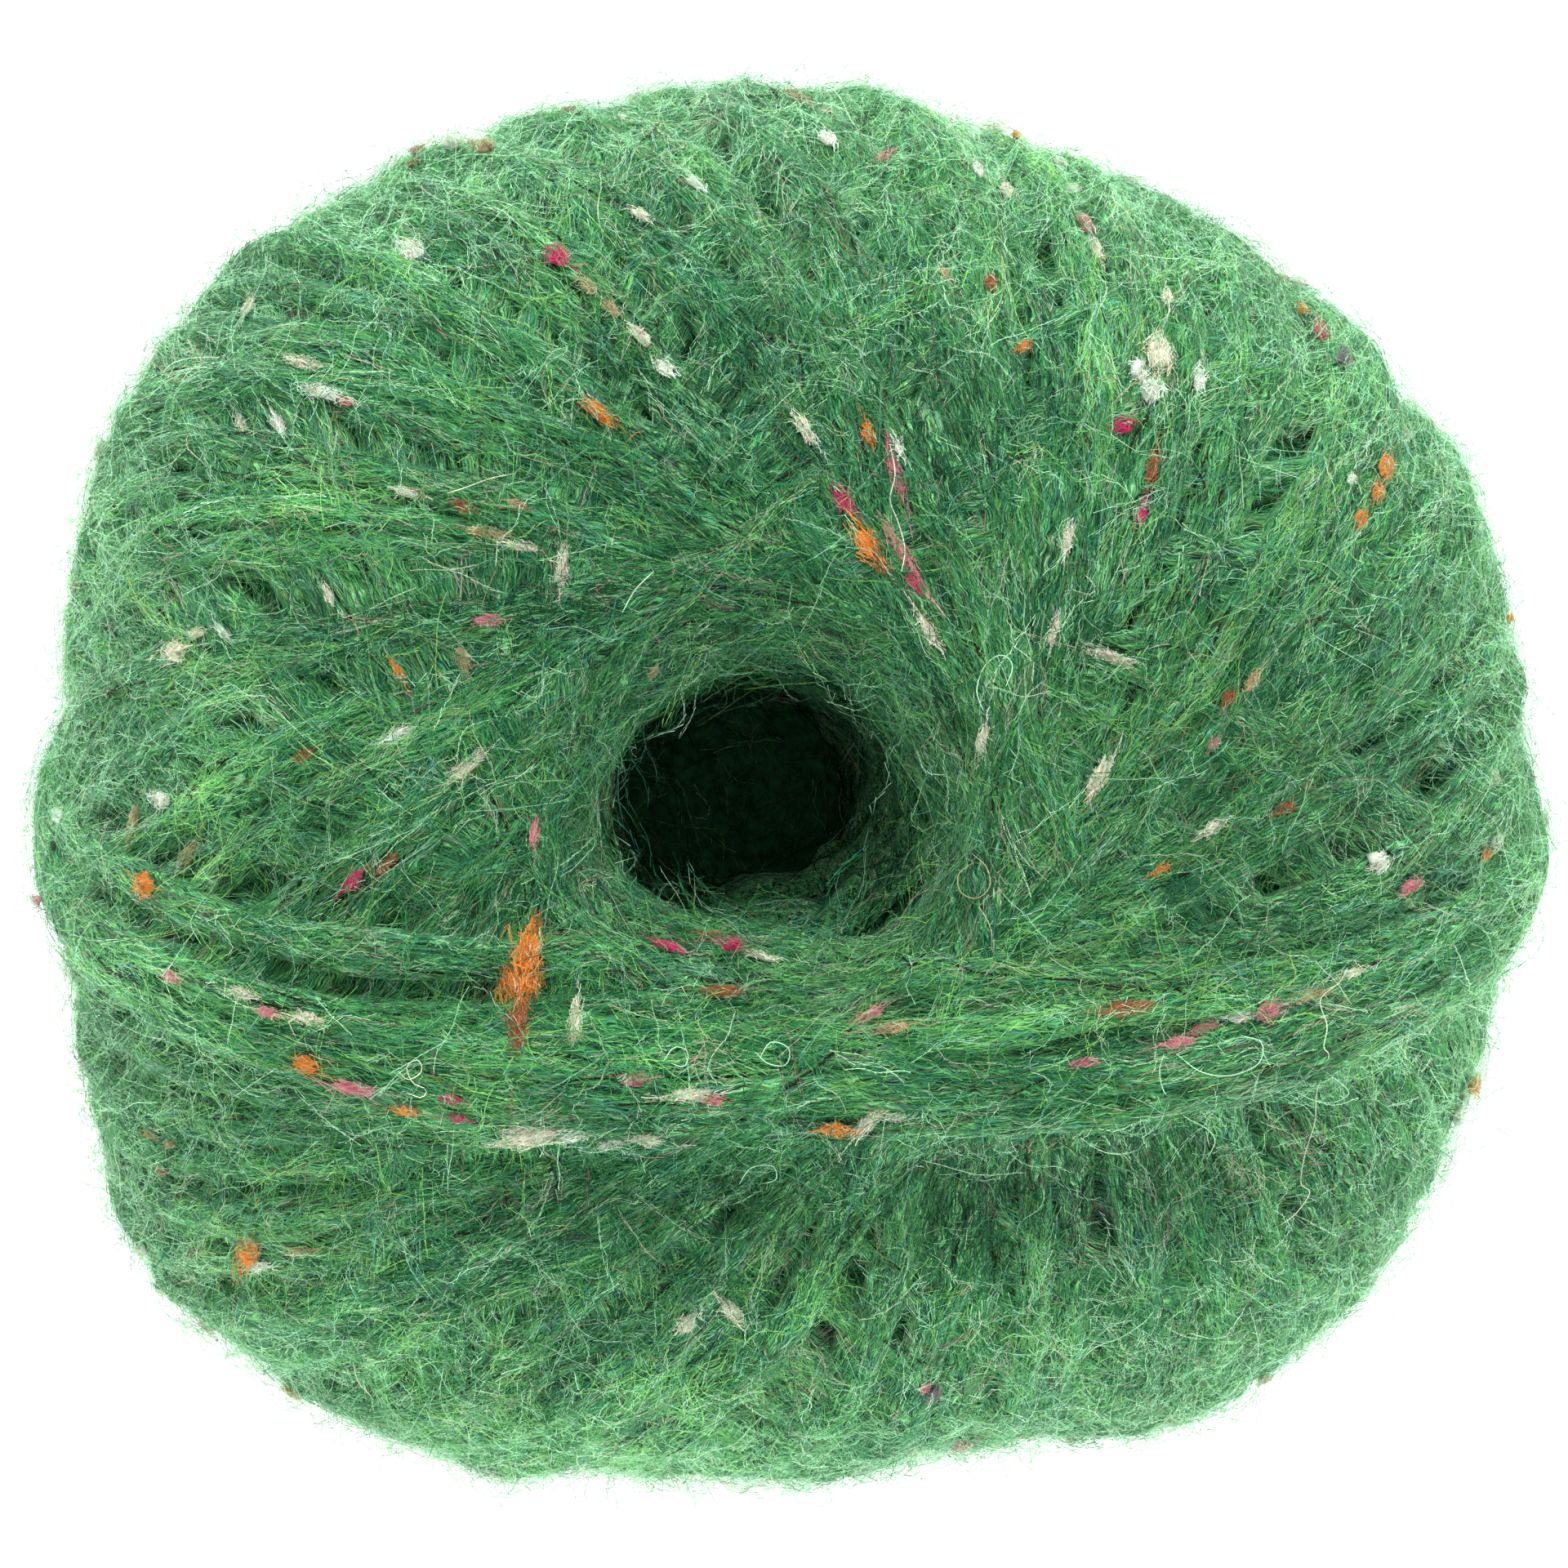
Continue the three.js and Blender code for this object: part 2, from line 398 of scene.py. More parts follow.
def wave(cycles, size):
    """A closed random wave for each turn, of the given size, with up to so many cycles."""
    psi = np.linspace(0, 2 * np.pi, TURN_STEPS, endpoint=False)
    total = np.zeros((ALL_TURNS, TURN_STEPS))
    for cycle in cycles:
        phase = RANDOM.uniform(0, 2 * np.pi, (ALL_TURNS, 1))
        height = RANDOM.normal(0, 1, (ALL_TURNS, 1))
        total += height * np.sin(cycle * psi + phase)
    return total * size / math.sqrt(len(cycles))


def mouth_radius(angle):
    """The hollow's radius at an angle in radians: its circle with the lobes that the solid has."""
    lobes = sum(rise * np.cos(count * (angle - math.radians(peak))) for count, rise, peak in MOUTH_LOBES)
    return HOLLOW_RADIUS + lobes * MM


def evened_round(values, times):
    """Values along closed turns, smoothed."""
    for _ in range(times):
        values = (np.roll(values, 1, 1) + 2 * values + np.roll(values, -1, 1)) / 4
    return values


def belly_bumps(points):
    """How far the belly swells out at points, by their angle round the ball."""
    angle = np.degrees(np.arctan2(points[..., 1], points[..., 0]))
    total = np.zeros(angle.shape)
    for peak, rise, spread in BELLY_BUMPS:
        away = (angle - peak + 180) % 360 - 180
        total += rise * MM * np.exp(-((away / spread) ** 2))
    return total


def make_turns():
    """Centre lines of all turns and their normals, oldest first."""
    age = np.concatenate([np.linspace(1, 1 / TURNS, TURNS), np.zeros(RIDGE_TURNS)])
    age[:TURNS] += RANDOM.normal(0, 0.25 / TURNS, TURNS)
    late = np.clip(1 - age / LATE_SHARE, 0, 1)
    theta = np.radians(LAST_ANGLE + 360 * age)
    nearest = mouth_radius(theta) + MOUTH_MARGIN
    tangent = nearest + np.maximum(OUTER_TANGENT - nearest, 0) * late
    tangent[:TURNS] += np.abs(RANDOM.normal(0, PAST_MOUTH, TURNS)) * MM
    tangent[TURNS:] = np.linspace(*RIDGE_TANGENTS, RIDGE_TURNS) * MM
    theta[TURNS:] += np.radians(RANDOM.normal(0, RIDGE_SPREAD, RIDGE_TURNS))
    out = np.stack([np.cos(theta), np.sin(theta), 0 * theta], -1)
    sideways = np.stack([-np.sin(theta), np.cos(theta), 0 * theta], -1)
    tilt = np.arctan2(tangent, HALF_HEIGHT * PASSING_HEIGHT)
    rising = np.cos(tilt)[:, None] * np.array([0, 0, 1.0]) + np.sin(tilt)[:, None] * out
    across = np.cross(sideways, rising)
    psi = np.linspace(0, 2 * np.pi, TURN_STEPS, endpoint=False)
    wander = wave((2, 3, 5, 8), WANDER)[:OUTER_TURNS]
    direction = (
        np.cos(psi)[None, :, None] * sideways[:, None]
        + np.sin(psi)[None, :, None] * rising[:, None]
        + wander[..., None] * across[:, None]
    )
    guess, normal = body_guess(unit(direction))
    far = 30 * MM
    flat_guess = (guess + normal * far / 2).reshape(-1, 3)
    hit, face = onto(SKIN, flat_guess, -normal.reshape(-1, 3), far)
    hit = hit.reshape(guess.shape)
    missed = (face < 0).reshape(guess.shape[:2])
    rise = ((hit - guess) * normal).sum(-1)
    rise[missed] = 0
    rise = evened_round(np.maximum(rise, DEEPEST_HIT), 2)
    layer = OLDEST_LAYER + LAYERS_RISE * (1 - age)[:, None] + wave((1, 2, 4, 7), LAYERS_WAVE)[:OUTER_TURNS]
    layer[TURNS:] += RIDGE_LAYER
    belly = (1 - ease(normal[..., 2], 0.15, 0.6)) * ease(normal[..., 2], -0.7, -0.2)
    layer += (belly_bumps(guess) - BELLY_FUZZ) * belly
    centre = guess + normal * (rise + layer)[..., None]
    centre[..., 2] = np.maximum(centre[..., 2], YARN_RADIUS * 0.9)
    return centre, normal


def make_inner_turns():
    """Centre lines of the turns that line the hollow, and their directions towards its axis."""
    depth = np.linspace(*INNER_DEPTHS, INNER_TURNS) * MM
    share = np.clip((depth - LIP_DEPTH) / (HOLLOW_DEPTH - LIP_DEPTH), 0, 1)
    axis = np.stack([HOLLOW[0] + LEAN[0] * share, HOLLOW[1] + LEAN[1] * share, CREST_HEIGHT - depth], -1)
    turn = np.linspace(0, 2 * np.pi, TURN_STEPS, endpoint=False)
    toward = RANDOM.uniform(0, 2 * np.pi, (INNER_TURNS, 1))
    slope = RANDOM.uniform(*INNER_SLOPES, (INNER_TURNS, 1)) * np.cos(turn - toward)
    slope += wave((2, 3, 5), 0.10)[OUTER_TURNS:]
    direction = unit(np.stack([np.cos(turn) + 0 * slope, np.sin(turn) + 0 * slope, slope], -1))
    start = np.broadcast_to(axis[:, None], direction.shape).reshape(-1, 3)
    hit, face = onto(SKIN, start, direction.reshape(-1, 3), 40 * MM)
    reach = np.linalg.norm(hit - start, axis=1).reshape(slope.shape)
    reach = np.where((face < 0).reshape(slope.shape), HOLLOW_RADIUS, np.minimum(reach, INNER_REACH))
    reach = evened_round(reach, 3) + (INNER_SUNK + wave((2, 3, 5, 9), 0.5 * MM)[OUTER_TURNS:])
    return axis[:, None] + direction * reach[..., None], -direction


def tubes(centre, normal, radius, flatness):
    """Outer halves of tubes along closed centre lines: points, four-cornered faces and their directions."""
    lines, steps = centre.shape[:2]
    along = unit(np.roll(centre, -1, 1) - np.roll(centre, 1, 1))
    side = unit(np.cross(along, normal))
    up = np.cross(side, along)
    angle = np.radians(np.linspace(-TURN_WRAP, 180 + TURN_WRAP, TURN_SIDES + 1))
    ring = (
        np.cos(angle)[None, None, :, None] * side[:, :, None]
        + flatness * np.sin(angle)[None, None, :, None] * up[:, :, None]
    )
    points = centre[:, :, None] + ring * radius[:, :, None, None]
    number = np.arange(lines * steps * (TURN_SIDES + 1)).reshape(lines, steps, TURN_SIDES + 1)
    ahead = np.roll(number, -1, 1)
    faces = np.stack([number[..., :-1], number[..., 1:], ahead[..., 1:], ahead[..., :-1]], -1)
    directions = np.broadcast_to(along[:, :, None], faces.shape[:3] + (3,))
    return points.reshape(-1, 3), faces.reshape(-1, 4), directions.reshape(-1, 3)


# The twist map, in millimetres: along the turn for each step, round it, and from one turn to the next
MAP_STEP, MAP_ROUND, MAP_SHIFT = 2.8, 6.8, 37.0


def turn_maps():
    """The turns' twist and their own strips, as maps of the faces' corners, so that each can close."""
    line, step, side = np.meshgrid(*map(np.arange, (ALL_TURNS, TURN_STEPS, TURN_SIDES)), indexing="ij")
    corner_step = np.stack([step, step, step + 1, step + 1], -1)
    corner_side = np.stack([side, side + 1, side + 1, side], -1)
    line = line[..., None] + 0 * corner_step
    twist = np.stack([corner_step * MAP_STEP + MAP_SHIFT * line, corner_side * MAP_ROUND / TURN_SIDES], -1)
    strip = (line + 0.05 + 0.9 * corner_side / TURN_SIDES) / ALL_TURNS
    strip = np.stack([corner_step / TURN_STEPS, strip], -1)
    return {"twist": twist.reshape(-1, 2), "OFBake": strip.reshape(-1, 2)}


TURN_CENTRE, TURN_NORMAL = (np.concatenate(pair) for pair in zip(make_turns(), make_inner_turns()))
TURN_RADIUS = YARN_RADIUS * (1 + wave((3, 7, 13, 19), 0.16))
TURN_RADIUS = np.clip(TURN_RADIUS, 0.6 * YARN_RADIUS, 1.5 * YARN_RADIUS)
TURN_POINTS, TURN_FACES, TURN_ALONG = tubes(TURN_CENTRE, TURN_NORMAL, TURN_RADIUS, TURN_FLATNESS)
TURN_POINTS[:, 2] = np.maximum(TURN_POINTS[:, 2], 0.1 * MM)
mesh_piece("wound_turns", TURN_POINTS, TURN_FACES, turn_material(), maps=turn_maps(), replaced=True)

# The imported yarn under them: the solid's skin, drawn in
CORE_DEPTH = 4.4 * MM
WALL_DEPTH = 2.4 * MM
WALL = ease(from_axis(SKIN_POINTS), 14.5 * MM, 11.5 * MM) * (SKIN_POINTS[:, 2] > 20 * MM)
CORE_POINTS = SKIN_POINTS - SKIN_NORMALS * (CORE_DEPTH + (WALL_DEPTH - CORE_DEPTH) * WALL)[:, None]
CORE_POINTS[:, 2] = np.maximum(CORE_POINTS[:, 2], 0.0)
mesh_piece("packed_core", CORE_POINTS, SKIN_FACES, core_material(), replaced=True)

# What a fibre can lie on: the turns and the core, with the direction of the yarn on each face
BASE_POINTS = np.concatenate([TURN_POINTS, CORE_POINTS])
BASE_FACES = [tuple(f) for f in TURN_FACES.tolist()]
BASE_FACES += [tuple(f) for f in (SKIN_FACES + len(TURN_POINTS)).tolist()]
CORE_ALONG = unit(np.cross(
    point_normals(CORE_POINTS, SKIN_FACES)[SKIN_FACES[:, 0]],
    np.array([0.25, 0.1, 1.0]),
))
BASE_ALONG = np.concatenate([TURN_ALONG, CORE_ALONG])
BASE = BVHTree.FromPolygons(BASE_POINTS.tolist(), BASE_FACES)


# Fibres: chains of slim triangles, laid on the turns. Their long and short waves are given in millimetres
LONG_WAVES, SHORT_WAVES, SHORT_BEND = (6, 14), (2.6, 5), 0.4
UNLIKE_FACING = 0.28
LOWEST = 0.05 * MM
UNMET_HEIGHT = -2.5 * MM
DRAPE_ABOVE = 5 * MM
SHADE_CELLS = 96


def skin_samples(count, density):
    """Random points of the skin and their normals, as dense as density(points, normals) says."""
    a, b, c = (SKIN_POINTS[SKIN_FACES[:, i]] for i in range(3))
    area = np.linalg.norm(np.cross(b - a, c - a), axis=1) / 2
    middle = (a + b + c) / 3
    weight = area * density(middle, unit(np.cross(b - a, c - a)))
    face = RANDOM.choice(len(SKIN_FACES), count, p=weight / weight.sum())
    u, v = RANDOM.random((2, count))
    over = u + v > 1
    u[over], v[over] = 1 - u[over], 1 - v[over]
    w = 1 - u - v
    share = np.stack([w, u, v], -1)[..., None]
    corners = SKIN_FACES[face]
    return (SKIN_POINTS[corners] * share).sum(1), unit((SKIN_NORMALS[corners] * share).sum(1))


def samples_on_yarn(count, density):
    """Random places on the turns or the core, with the skin's normals there and the faces met."""
    points, normals = skin_samples(count, density)
    places, faces = onto(BASE, points + normals * 5 * MM, -normals, 15 * MM)
    met = faces >= 0
    return places[met], normals[met], faces[met]


def fibre_paths(places, normals, along, length, spread, curl, steps, crimp=1.0):
    """Curly paths on the plane through each place. spread and curl are in radians, crimp scales the waves."""
    count = len(places)
    tangent = unit(along - (along * normals).sum(-1, keepdims=True) * normals)
    heading = RANDOM.normal(0, 1, count) * spread + np.pi * RANDOM.integers(0, 2, count)
    t = np.linspace(0, 1, steps)[None, :]
    run = t * length[:, None]
    long_wave = RANDOM.uniform(*LONG_WAVES, count)[:, None] * crimp * MM
    short_wave = RANDOM.uniform(*SHORT_WAVES, count)[:, None] * crimp * MM
    phase = RANDOM.uniform(0, 2 * np.pi, (2, count, 1))
    bend = RANDOM.normal(0, 1, (2, count, 1)) * np.asarray(curl).reshape(-1, 1)
    angle = (
        heading[:, None]
        + bend[0] * np.sin(2 * np.pi * run / long_wave + phase[0])
        + SHORT_BEND * bend[1] * np.sin(2 * np.pi * run / short_wave + phase[1])
    )
    ahead = turned(tangent[:, None] + 0 * t[..., None], normals[:, None] + 0 * t[..., None], angle)
    path = np.cumsum(ahead * (length / (steps - 1))[:, None, None], 1)
    path -= path[:, steps // 2][:, None]
    return places[:, None] + path


def drape(paths, normals, evened):
    """Lowers every point of the paths onto the turns or the core, with the heights evened along a path."""
    count, steps = paths.shape[:2]
    up = np.repeat(normals, steps, 0)
    flat = paths.reshape(-1, 3)
    hits, faces = onto(BASE, flat + up * DRAPE_ABOVE, -up, 2.6 * DRAPE_ABOVE)
    height = ((hits - flat) * up).sum(-1)
    height[faces < 0] = UNMET_HEIGHT
    height = height.reshape(count, steps)
    for _ in range(evened):
        before = np.concatenate([height[:, :1], height[:, :-1]], 1)
        after = np.concatenate([height[:, 1:], height[:, -1:]], 1)
        height = (before + 2 * height + after) / 4
    return paths + normals[:, None] * height[..., None]


def needles(paths, normals, width, roll):
    """Fibres as chains of slim triangles, each a full width at its start and a point two steps on."""
    count, steps = paths.shape[:2]
    ahead = np.empty_like(paths)
    ahead[:, 1:-1] = paths[:, 2:] - paths[:, :-2]
    ahead[:, 0] = paths[:, 1] - paths[:, 0]
    ahead[:, -1] = paths[:, -1] - paths[:, -2]
    ahead = unit(ahead)
    side = unit(np.cross(ahead, normals[:, None] + 0 * paths))
    side = turned(side, ahead, roll[:, None] + np.zeros((count, steps)))
    half = side * width[:, None, None] / 2
    points = np.stack([paths - half, paths + half], 2)
    number = np.arange(count * steps * 2).reshape(count, steps, 2)
    ends = np.minimum(np.arange(steps - 1) + 2, steps - 1)
    tip = np.where(np.arange(steps - 1) % 2, number[:, ends, 0], number[:, ends, 1])
    faces = np.stack([number[:, :-1, 0], number[:, :-1, 1], tip], -1)
    return points.reshape(-1, 3), faces.reshape(-1, 3)


def shade_map(hue, light, steps):
    """A fibre's place on the shade map: a small patch for each fibre, at its hue and lightness."""
    cell = 1 / SHADE_CELLS
    across = np.tile(np.array([0.0, 0.8 * cell]), (len(hue), steps, 1))
    run = np.linspace(0, 2 * cell, steps)[None, :, None] + 0 * across
    u = hue[:, None, None] * (1 - cell) + across
    v = light[:, None, None] * (1 - 2 * cell) + run
    return np.stack([u, v], -1).reshape(-1, 2)


def fibre_piece(name, paths, normals, width, roll, hue, light, material):
    """Fibres as one piece. Each is lit as the ball's surface is, a little off it."""
    points, faces = needles(paths, normals, width, roll)
    points[:, 2] = np.maximum(points[:, 2], LOWEST)
    facing = unit(normals + RANDOM.normal(0, UNLIKE_FACING, normals.shape))
    facing = np.repeat(facing, 2 * paths.shape[1], 0)
    shade = shade_map(hue, light, paths.shape[1])
    return mesh_piece(name, points, faces, material, shade, facing)


# Zones of the ball, by distance from the hollow's axis and by height, and how dense the fuzz is in them
RIM_AWAY, RIM_HEIGHTS = (17 * MM, 14.5 * MM), (84.5 * MM, 81 * MM)
UNDERSIDE, LOW_SIDES, ABOVE_BASE = 2 * MM, (18 * MM, 40 * MM), 5 * MM
MOUTH_AWAY, MOUTH_HEIGHT, WALL_AWAY, WALL_TOP = 19 * MM, 70 * MM, 16 * MM, 72 * MM
LOW_DENSITY, SIDES_GAIN, MOUTH_DENSITY, UNDER_DENSITY, WALL_DENSITY = 0.55, 0.45, 1.25, 0.12, 0.8


def how_deep(points):
    """1 at points of the hollow's wall, 0 on the outside of the ball."""
    height = points[:, 2]
    return ease(from_axis(points), *RIM_AWAY) * ease(height, *RIM_HEIGHTS) * (height > ABOVE_BASE)


def outer_density(points, normals):
    """Most fibres lie where they are seen: few under the ball, fewer down in the hollow."""
    away, height = from_axis(points), points[:, 2]
    density = LOW_DENSITY + SIDES_GAIN * ease(height, *LOW_SIDES)
    density[(away < MOUTH_AWAY) & (height > MOUTH_HEIGHT)] = MOUTH_DENSITY
    density[height < UNDERSIDE] = UNDER_DENSITY
    density[(away < WALL_AWAY) & (height > ABOVE_BASE) & (height < WALL_TOP)] = WALL_DENSITY
    return density


# The fibres' colour is their dye and random tone, times a lightness that also holds painted shade and painted
# rim light
FIBRES = fibre_material("dyed_fibres_and_painted_light", GREENS)
DEEP_FIBRES = fibre_material("deep_fibres", GREENS, glow=0.1, sheen=0.0)


def soft_noise(points, period, seed):
    """A smooth random value from 0 to 1 at each point, from a few waves of about that period."""
    waves = np.random.default_rng(seed)
    total = np.zeros(len(points))
    for _ in range(10):
        direction = unit(waves.normal(0, 1, 3)) * 2 * np.pi / (period * waves.uniform(0.7, 1.6))
        total += np.sin(points @ direction + waves.uniform(0, 2 * np.pi))
    return np.clip(0.5 + total / 7, 0, 1)


# How far the fuzz is tangled in patches, behind the hollow, on the sides and at the mouth
PATCHES_MATTED, BEHIND_MATTED, SIDES_MATTED, MOUTH_MATTED = 0.55, 0.75, 0.6, 0.85


def how_matted(points):
    """0 where the fuzz lies along the yarn, 1 where it is tangled, as it is in front of the last turns."""
    x, y, z = points.T
    front = ease(-y, 20 * MM, 31 * MM) * ease(z, 40 * MM, 60 * MM)
    behind = BEHIND_MATTED * (ease(y, 14 * MM, 26 * MM) * ease(np.abs(x), 26 * MM, 10 * MM))
    side = SIDES_MATTED * (1 - ease(z, 34 * MM, 62 * MM))
    mouth = MOUTH_MATTED * (ease(from_axis(points), 20 * MM, 13 * MM) * (z > BELLY_HEIGHT))
    patches = PATCHES_MATTED * soft_noise(points, 34 * MM, 5)
    return np.clip(np.maximum.reduce([patches, front, behind, side, mouth]), 0, 1)


# Patches of painted shade on the face: x, y, reach along x and reach along y in millimetres, and how much
# darker they paint the fibres (painted shade), or lighter where negative (painted light)
PaintedShadePatch = namedtuple("PaintedShadePatch", "x y long wide shade")
PAINTED_SHADE_PATCHES = [
    PaintedShadePatch(11, -32, 26, 5, 0.40), PaintedShadePatch(31, -1, 17, 12, 0.38), PaintedShadePatch(-33, -2, 18, 12, -0.13),
    PaintedShadePatch(-3, -45, 30, 8, -0.16), PaintedShadePatch(0, 32, 15, 9, 0.20), PaintedShadePatch(-4, 4, 14, 9, 0.16),
    PaintedShadePatch(8, -7, 5, 5, 0.30), PaintedShadePatch(-10, -9, 5, 4, 0.30),
]


def painted_shade_at(points):
    """How much darker a point's fibres are painted by the patches of painted shade, or lighter where a patch
    paints light.
    """
    total = np.zeros(len(points))
    for shade_patch in PAINTED_SHADE_PATCHES:
        along = (points[:, 0] / MM - shade_patch.x) / shade_patch.long
        across = (points[:, 1] / MM - shade_patch.y) / shade_patch.wide
        total += shade_patch.shade * np.exp(-along**2 - across**2)
    return total * (points[:, 2] > BELLY_HEIGHT)


# Each turn has its own shade, which changes slowly along it
OWN_TONE = 0.6
TURN_TONE = OWN_TONE * RANDOM.normal(0, 1, (ALL_TURNS, 1)) + wave((5, 11, 17, 23, 31), 1.0)
TURN_SLUBS = wave((13, 19, 29, 37, 47), 1.0)
SLUB_LEVEL = 1.45
TURN_HUE = OWN_TONE * RANDOM.normal(0, 1, (ALL_TURNS, 1)) + wave((3, 7, 13, 19, 29), 1.0)


def turn_values(faces, table):
    """A table's value for each face that a fibre lies on: 0 off the turns."""
    on_turn = faces < len(TURN_FACES)
    face = np.where(on_turn, faces, 0)
    line = face // (TURN_STEPS * TURN_SIDES)
    step = face // TURN_SIDES % TURN_STEPS
    return np.where(on_turn, table[line, step], 0)


# Where the hues lie on the ramp of greens
GREEN_MIDDLE, GREEN_SPREAD, GREEN_SHIFT, GREENS_END = 0.335, 0.165, 0.09, 0.645
OTHERS, OTHER_SHARE = (0.67, 0.99), 0.20
PALES, SLUBS = (0.85, 0.905), (0.90, 0.968)


def pick_hues(count, shift, pale, slub=0.0):
    """Hues on the ramp: mostly the yarn's greens, then teal, mint and grey, a pale share and faint slubs."""
    green = GREEN_MIDDLE + GREEN_SPREAD * RANDOM.normal(0, 1, count) + GREEN_SHIFT * shift
    green = np.clip(green, 0.01, GREENS_END)
    other = RANDOM.uniform(*OTHERS, count)
    light = RANDOM.uniform(*PALES, count)
    kind = RANDOM.random(count)
    hue = np.where(kind < pale, light, np.where(kind < pale + OTHER_SHARE * (1 - pale), other, green))
    return np.where(RANDOM.random(count) < slub, RANDOM.uniform(*SLUBS, count), hue)


# How a fibre's lightness follows chance, its turn, its part of the ball, patches of painted shade and its
# steepness; the steep flanks and rim are painted lighter and paler, as painted rim light
EVEN_TONE, CHANCE_TONE, TURN_TONES, PATCH_TONE = -0.04, 0.13, 0.19, 0.16
FLANK_PAINTED_LIGHT, RIM_PAINTED_LIGHT = 0.33, 0.30
FLANK_PAINTED_HAZE, RIM_PAINTED_HAZE = (0.35, 1.5), 0.34
PATCH_HUE, PAINTED_SHADE_HUE = 1.6, 2.5
UNEVEN_WIDTH, UNEVEN_ROLL = (0.75, 1.3), 0.45
SPREAD_BY_MATTING, CURL_BY_MATTING = (0.45, 1.3), (0.7, 0.6)


def lay_coat(
    name, count, steps, long_mm, spread, curl, width_mm, lift_mm, arch_mm, evened, tone, pale, crimp,
    loose=0.0, open_share=1.0, deep=False,
):
    """One coat of fuzz over the whole ball, lifted off the turns and arched between its ends.

    spread, curl and crimp say how the fibres run, and evened how often their heights are smoothed. loose
    is the share with a free end, open_share the density off the matted parts, and deep the hollow's own coat.
    """
    def density(points, normals):
        down = how_deep(points)
        matted = open_share + (1 - open_share) * how_matted(points)
        return outer_density(points, normals) * matted * (down if deep else 1 - down)

    places, normals, faces = samples_on_yarn(count, density)
    count = len(places)
    length = RANDOM.uniform(*long_mm, count) * MM
    matted = how_matted(places)
    spreads = spread * (SPREAD_BY_MATTING[0] + SPREAD_BY_MATTING[1] * matted)
    curls = curl * (CURL_BY_MATTING[0] + CURL_BY_MATTING[1] * matted)
    paths = fibre_paths(places, normals, BASE_ALONG[faces], length, spreads, curls, steps, crimp)
    paths = drape(paths, normals, evened)
    t = np.linspace(0, 1, steps)[None, :]
    away = from_axis(places)
    calm = np.where(away < RIM_AWAY[0], 0.5, 1)[:, None]
    arch = np.abs(RANDOM.normal(0, 1, count))[:, None] * arch_mm * MM * calm
    free = (RANDOM.random(count) < loose)[:, None]
    shape = np.where(free, t**1.3, np.sin(np.pi * t) ** 0.8)
    lift = RANDOM.uniform(*lift_mm, count)[:, None] * MM + arch * shape
    paths = paths + normals[:, None] * lift[..., None]
    width = RANDOM.uniform(*UNEVEN_WIDTH, count) * width_mm * MM
    roll = RANDOM.normal(0, UNEVEN_ROLL, count)
    patch = soft_noise(places, 24 * MM, 9) - 0.5
    # Painted rim light: on the steep flanks and rim the fibres get more lightness and a larger pale share
    rim_light_mask = (1 - normals[:, 2] ** 2) * ease(away, 16 * MM, 26 * MM)
    # Painted shade: fibres in the patches are made darker and their hue moves to darker greens; negative
    # patches paint light instead
    painted_shade = painted_shade_at(places)
    light = tone + EVEN_TONE + CHANCE_TONE * RANDOM.normal(0, 1, count)
    light = light + TURN_TONES * turn_values(faces, TURN_TONE) + PATCH_TONE * patch
    light = np.clip(light + FLANK_PAINTED_LIGHT * rim_light_mask + RIM_PAINTED_LIGHT * rim_light_mask**3 - painted_shade, 0.02, 0.98)
    shift = turn_values(faces, TURN_HUE) + PATCH_HUE * patch - PAINTED_SHADE_HUE * painted_shade
    slub = 0.5 * (turn_values(faces, TURN_SLUBS) > SLUB_LEVEL)
    pale_share_and_rim_haze = pale * (FLANK_PAINTED_HAZE[0] + FLANK_PAINTED_HAZE[1] * rim_light_mask) + RIM_PAINTED_HAZE * rim_light_mask**3
    hue = pick_hues(count, shift, pale_share_and_rim_haze, slub)
    return fibre_piece(name, paths, normals, width, roll, hue, light, DEEP_FIBRES if deep else FIBRES)


lay_coat("fuzz_close_1", 34000, 6, (3.6, 5.8), 0.18, 0.50, 0.082, (0.02, 0.15), 0.10, 1, 0.45, 0.02, 0.6)
lay_coat("fuzz_close_2", 34000, 6, (3.6, 5.8), 0.30, 0.65, 0.075, (0.05, 0.35), 0.25, 1, 0.49, 0.03, 0.55)
lay_coat("fuzz_middle", 17500, 10, (4.5, 8), 0.60, 0.90, 0.064, (0.2, 0.8), 0.5, 3, 0.52, 0.04, 0.4, 0, 0.6)
lay_coat("fuzz_outer", 9500, 13, (5, 9), 1.1, 1.2, 0.054, (0.4, 1.4), 0.8, 5, 0.54, 0.10, 0.38, 0, 0.6)
lay_coat("halo", 9500, 11, (4, 8), 1.6, 1.3, 0.050, (0.4, 1.8), 1.4, 5, 0.62, 0.26, 0.38, 0.6, 0.7)
lay_coat("fuzz_deep", 4000, 8, (4, 8), 0.5, 0.7, 0.08, (0.05, 0.4), 0.4, 2, 0.64, 0.02, 0.7, deep=True)

# Fibres that stand loose off the mouth's edge, out over the hollow
WISPS = 800
WISP_STEPS = 10
WISP_WIDTH = 0.055 * MM
WISP_STARTS, WISP_LENGTHS, WISP_INWARD = (-1.0, 3.0), (3, 9), (0.1, 1.0)


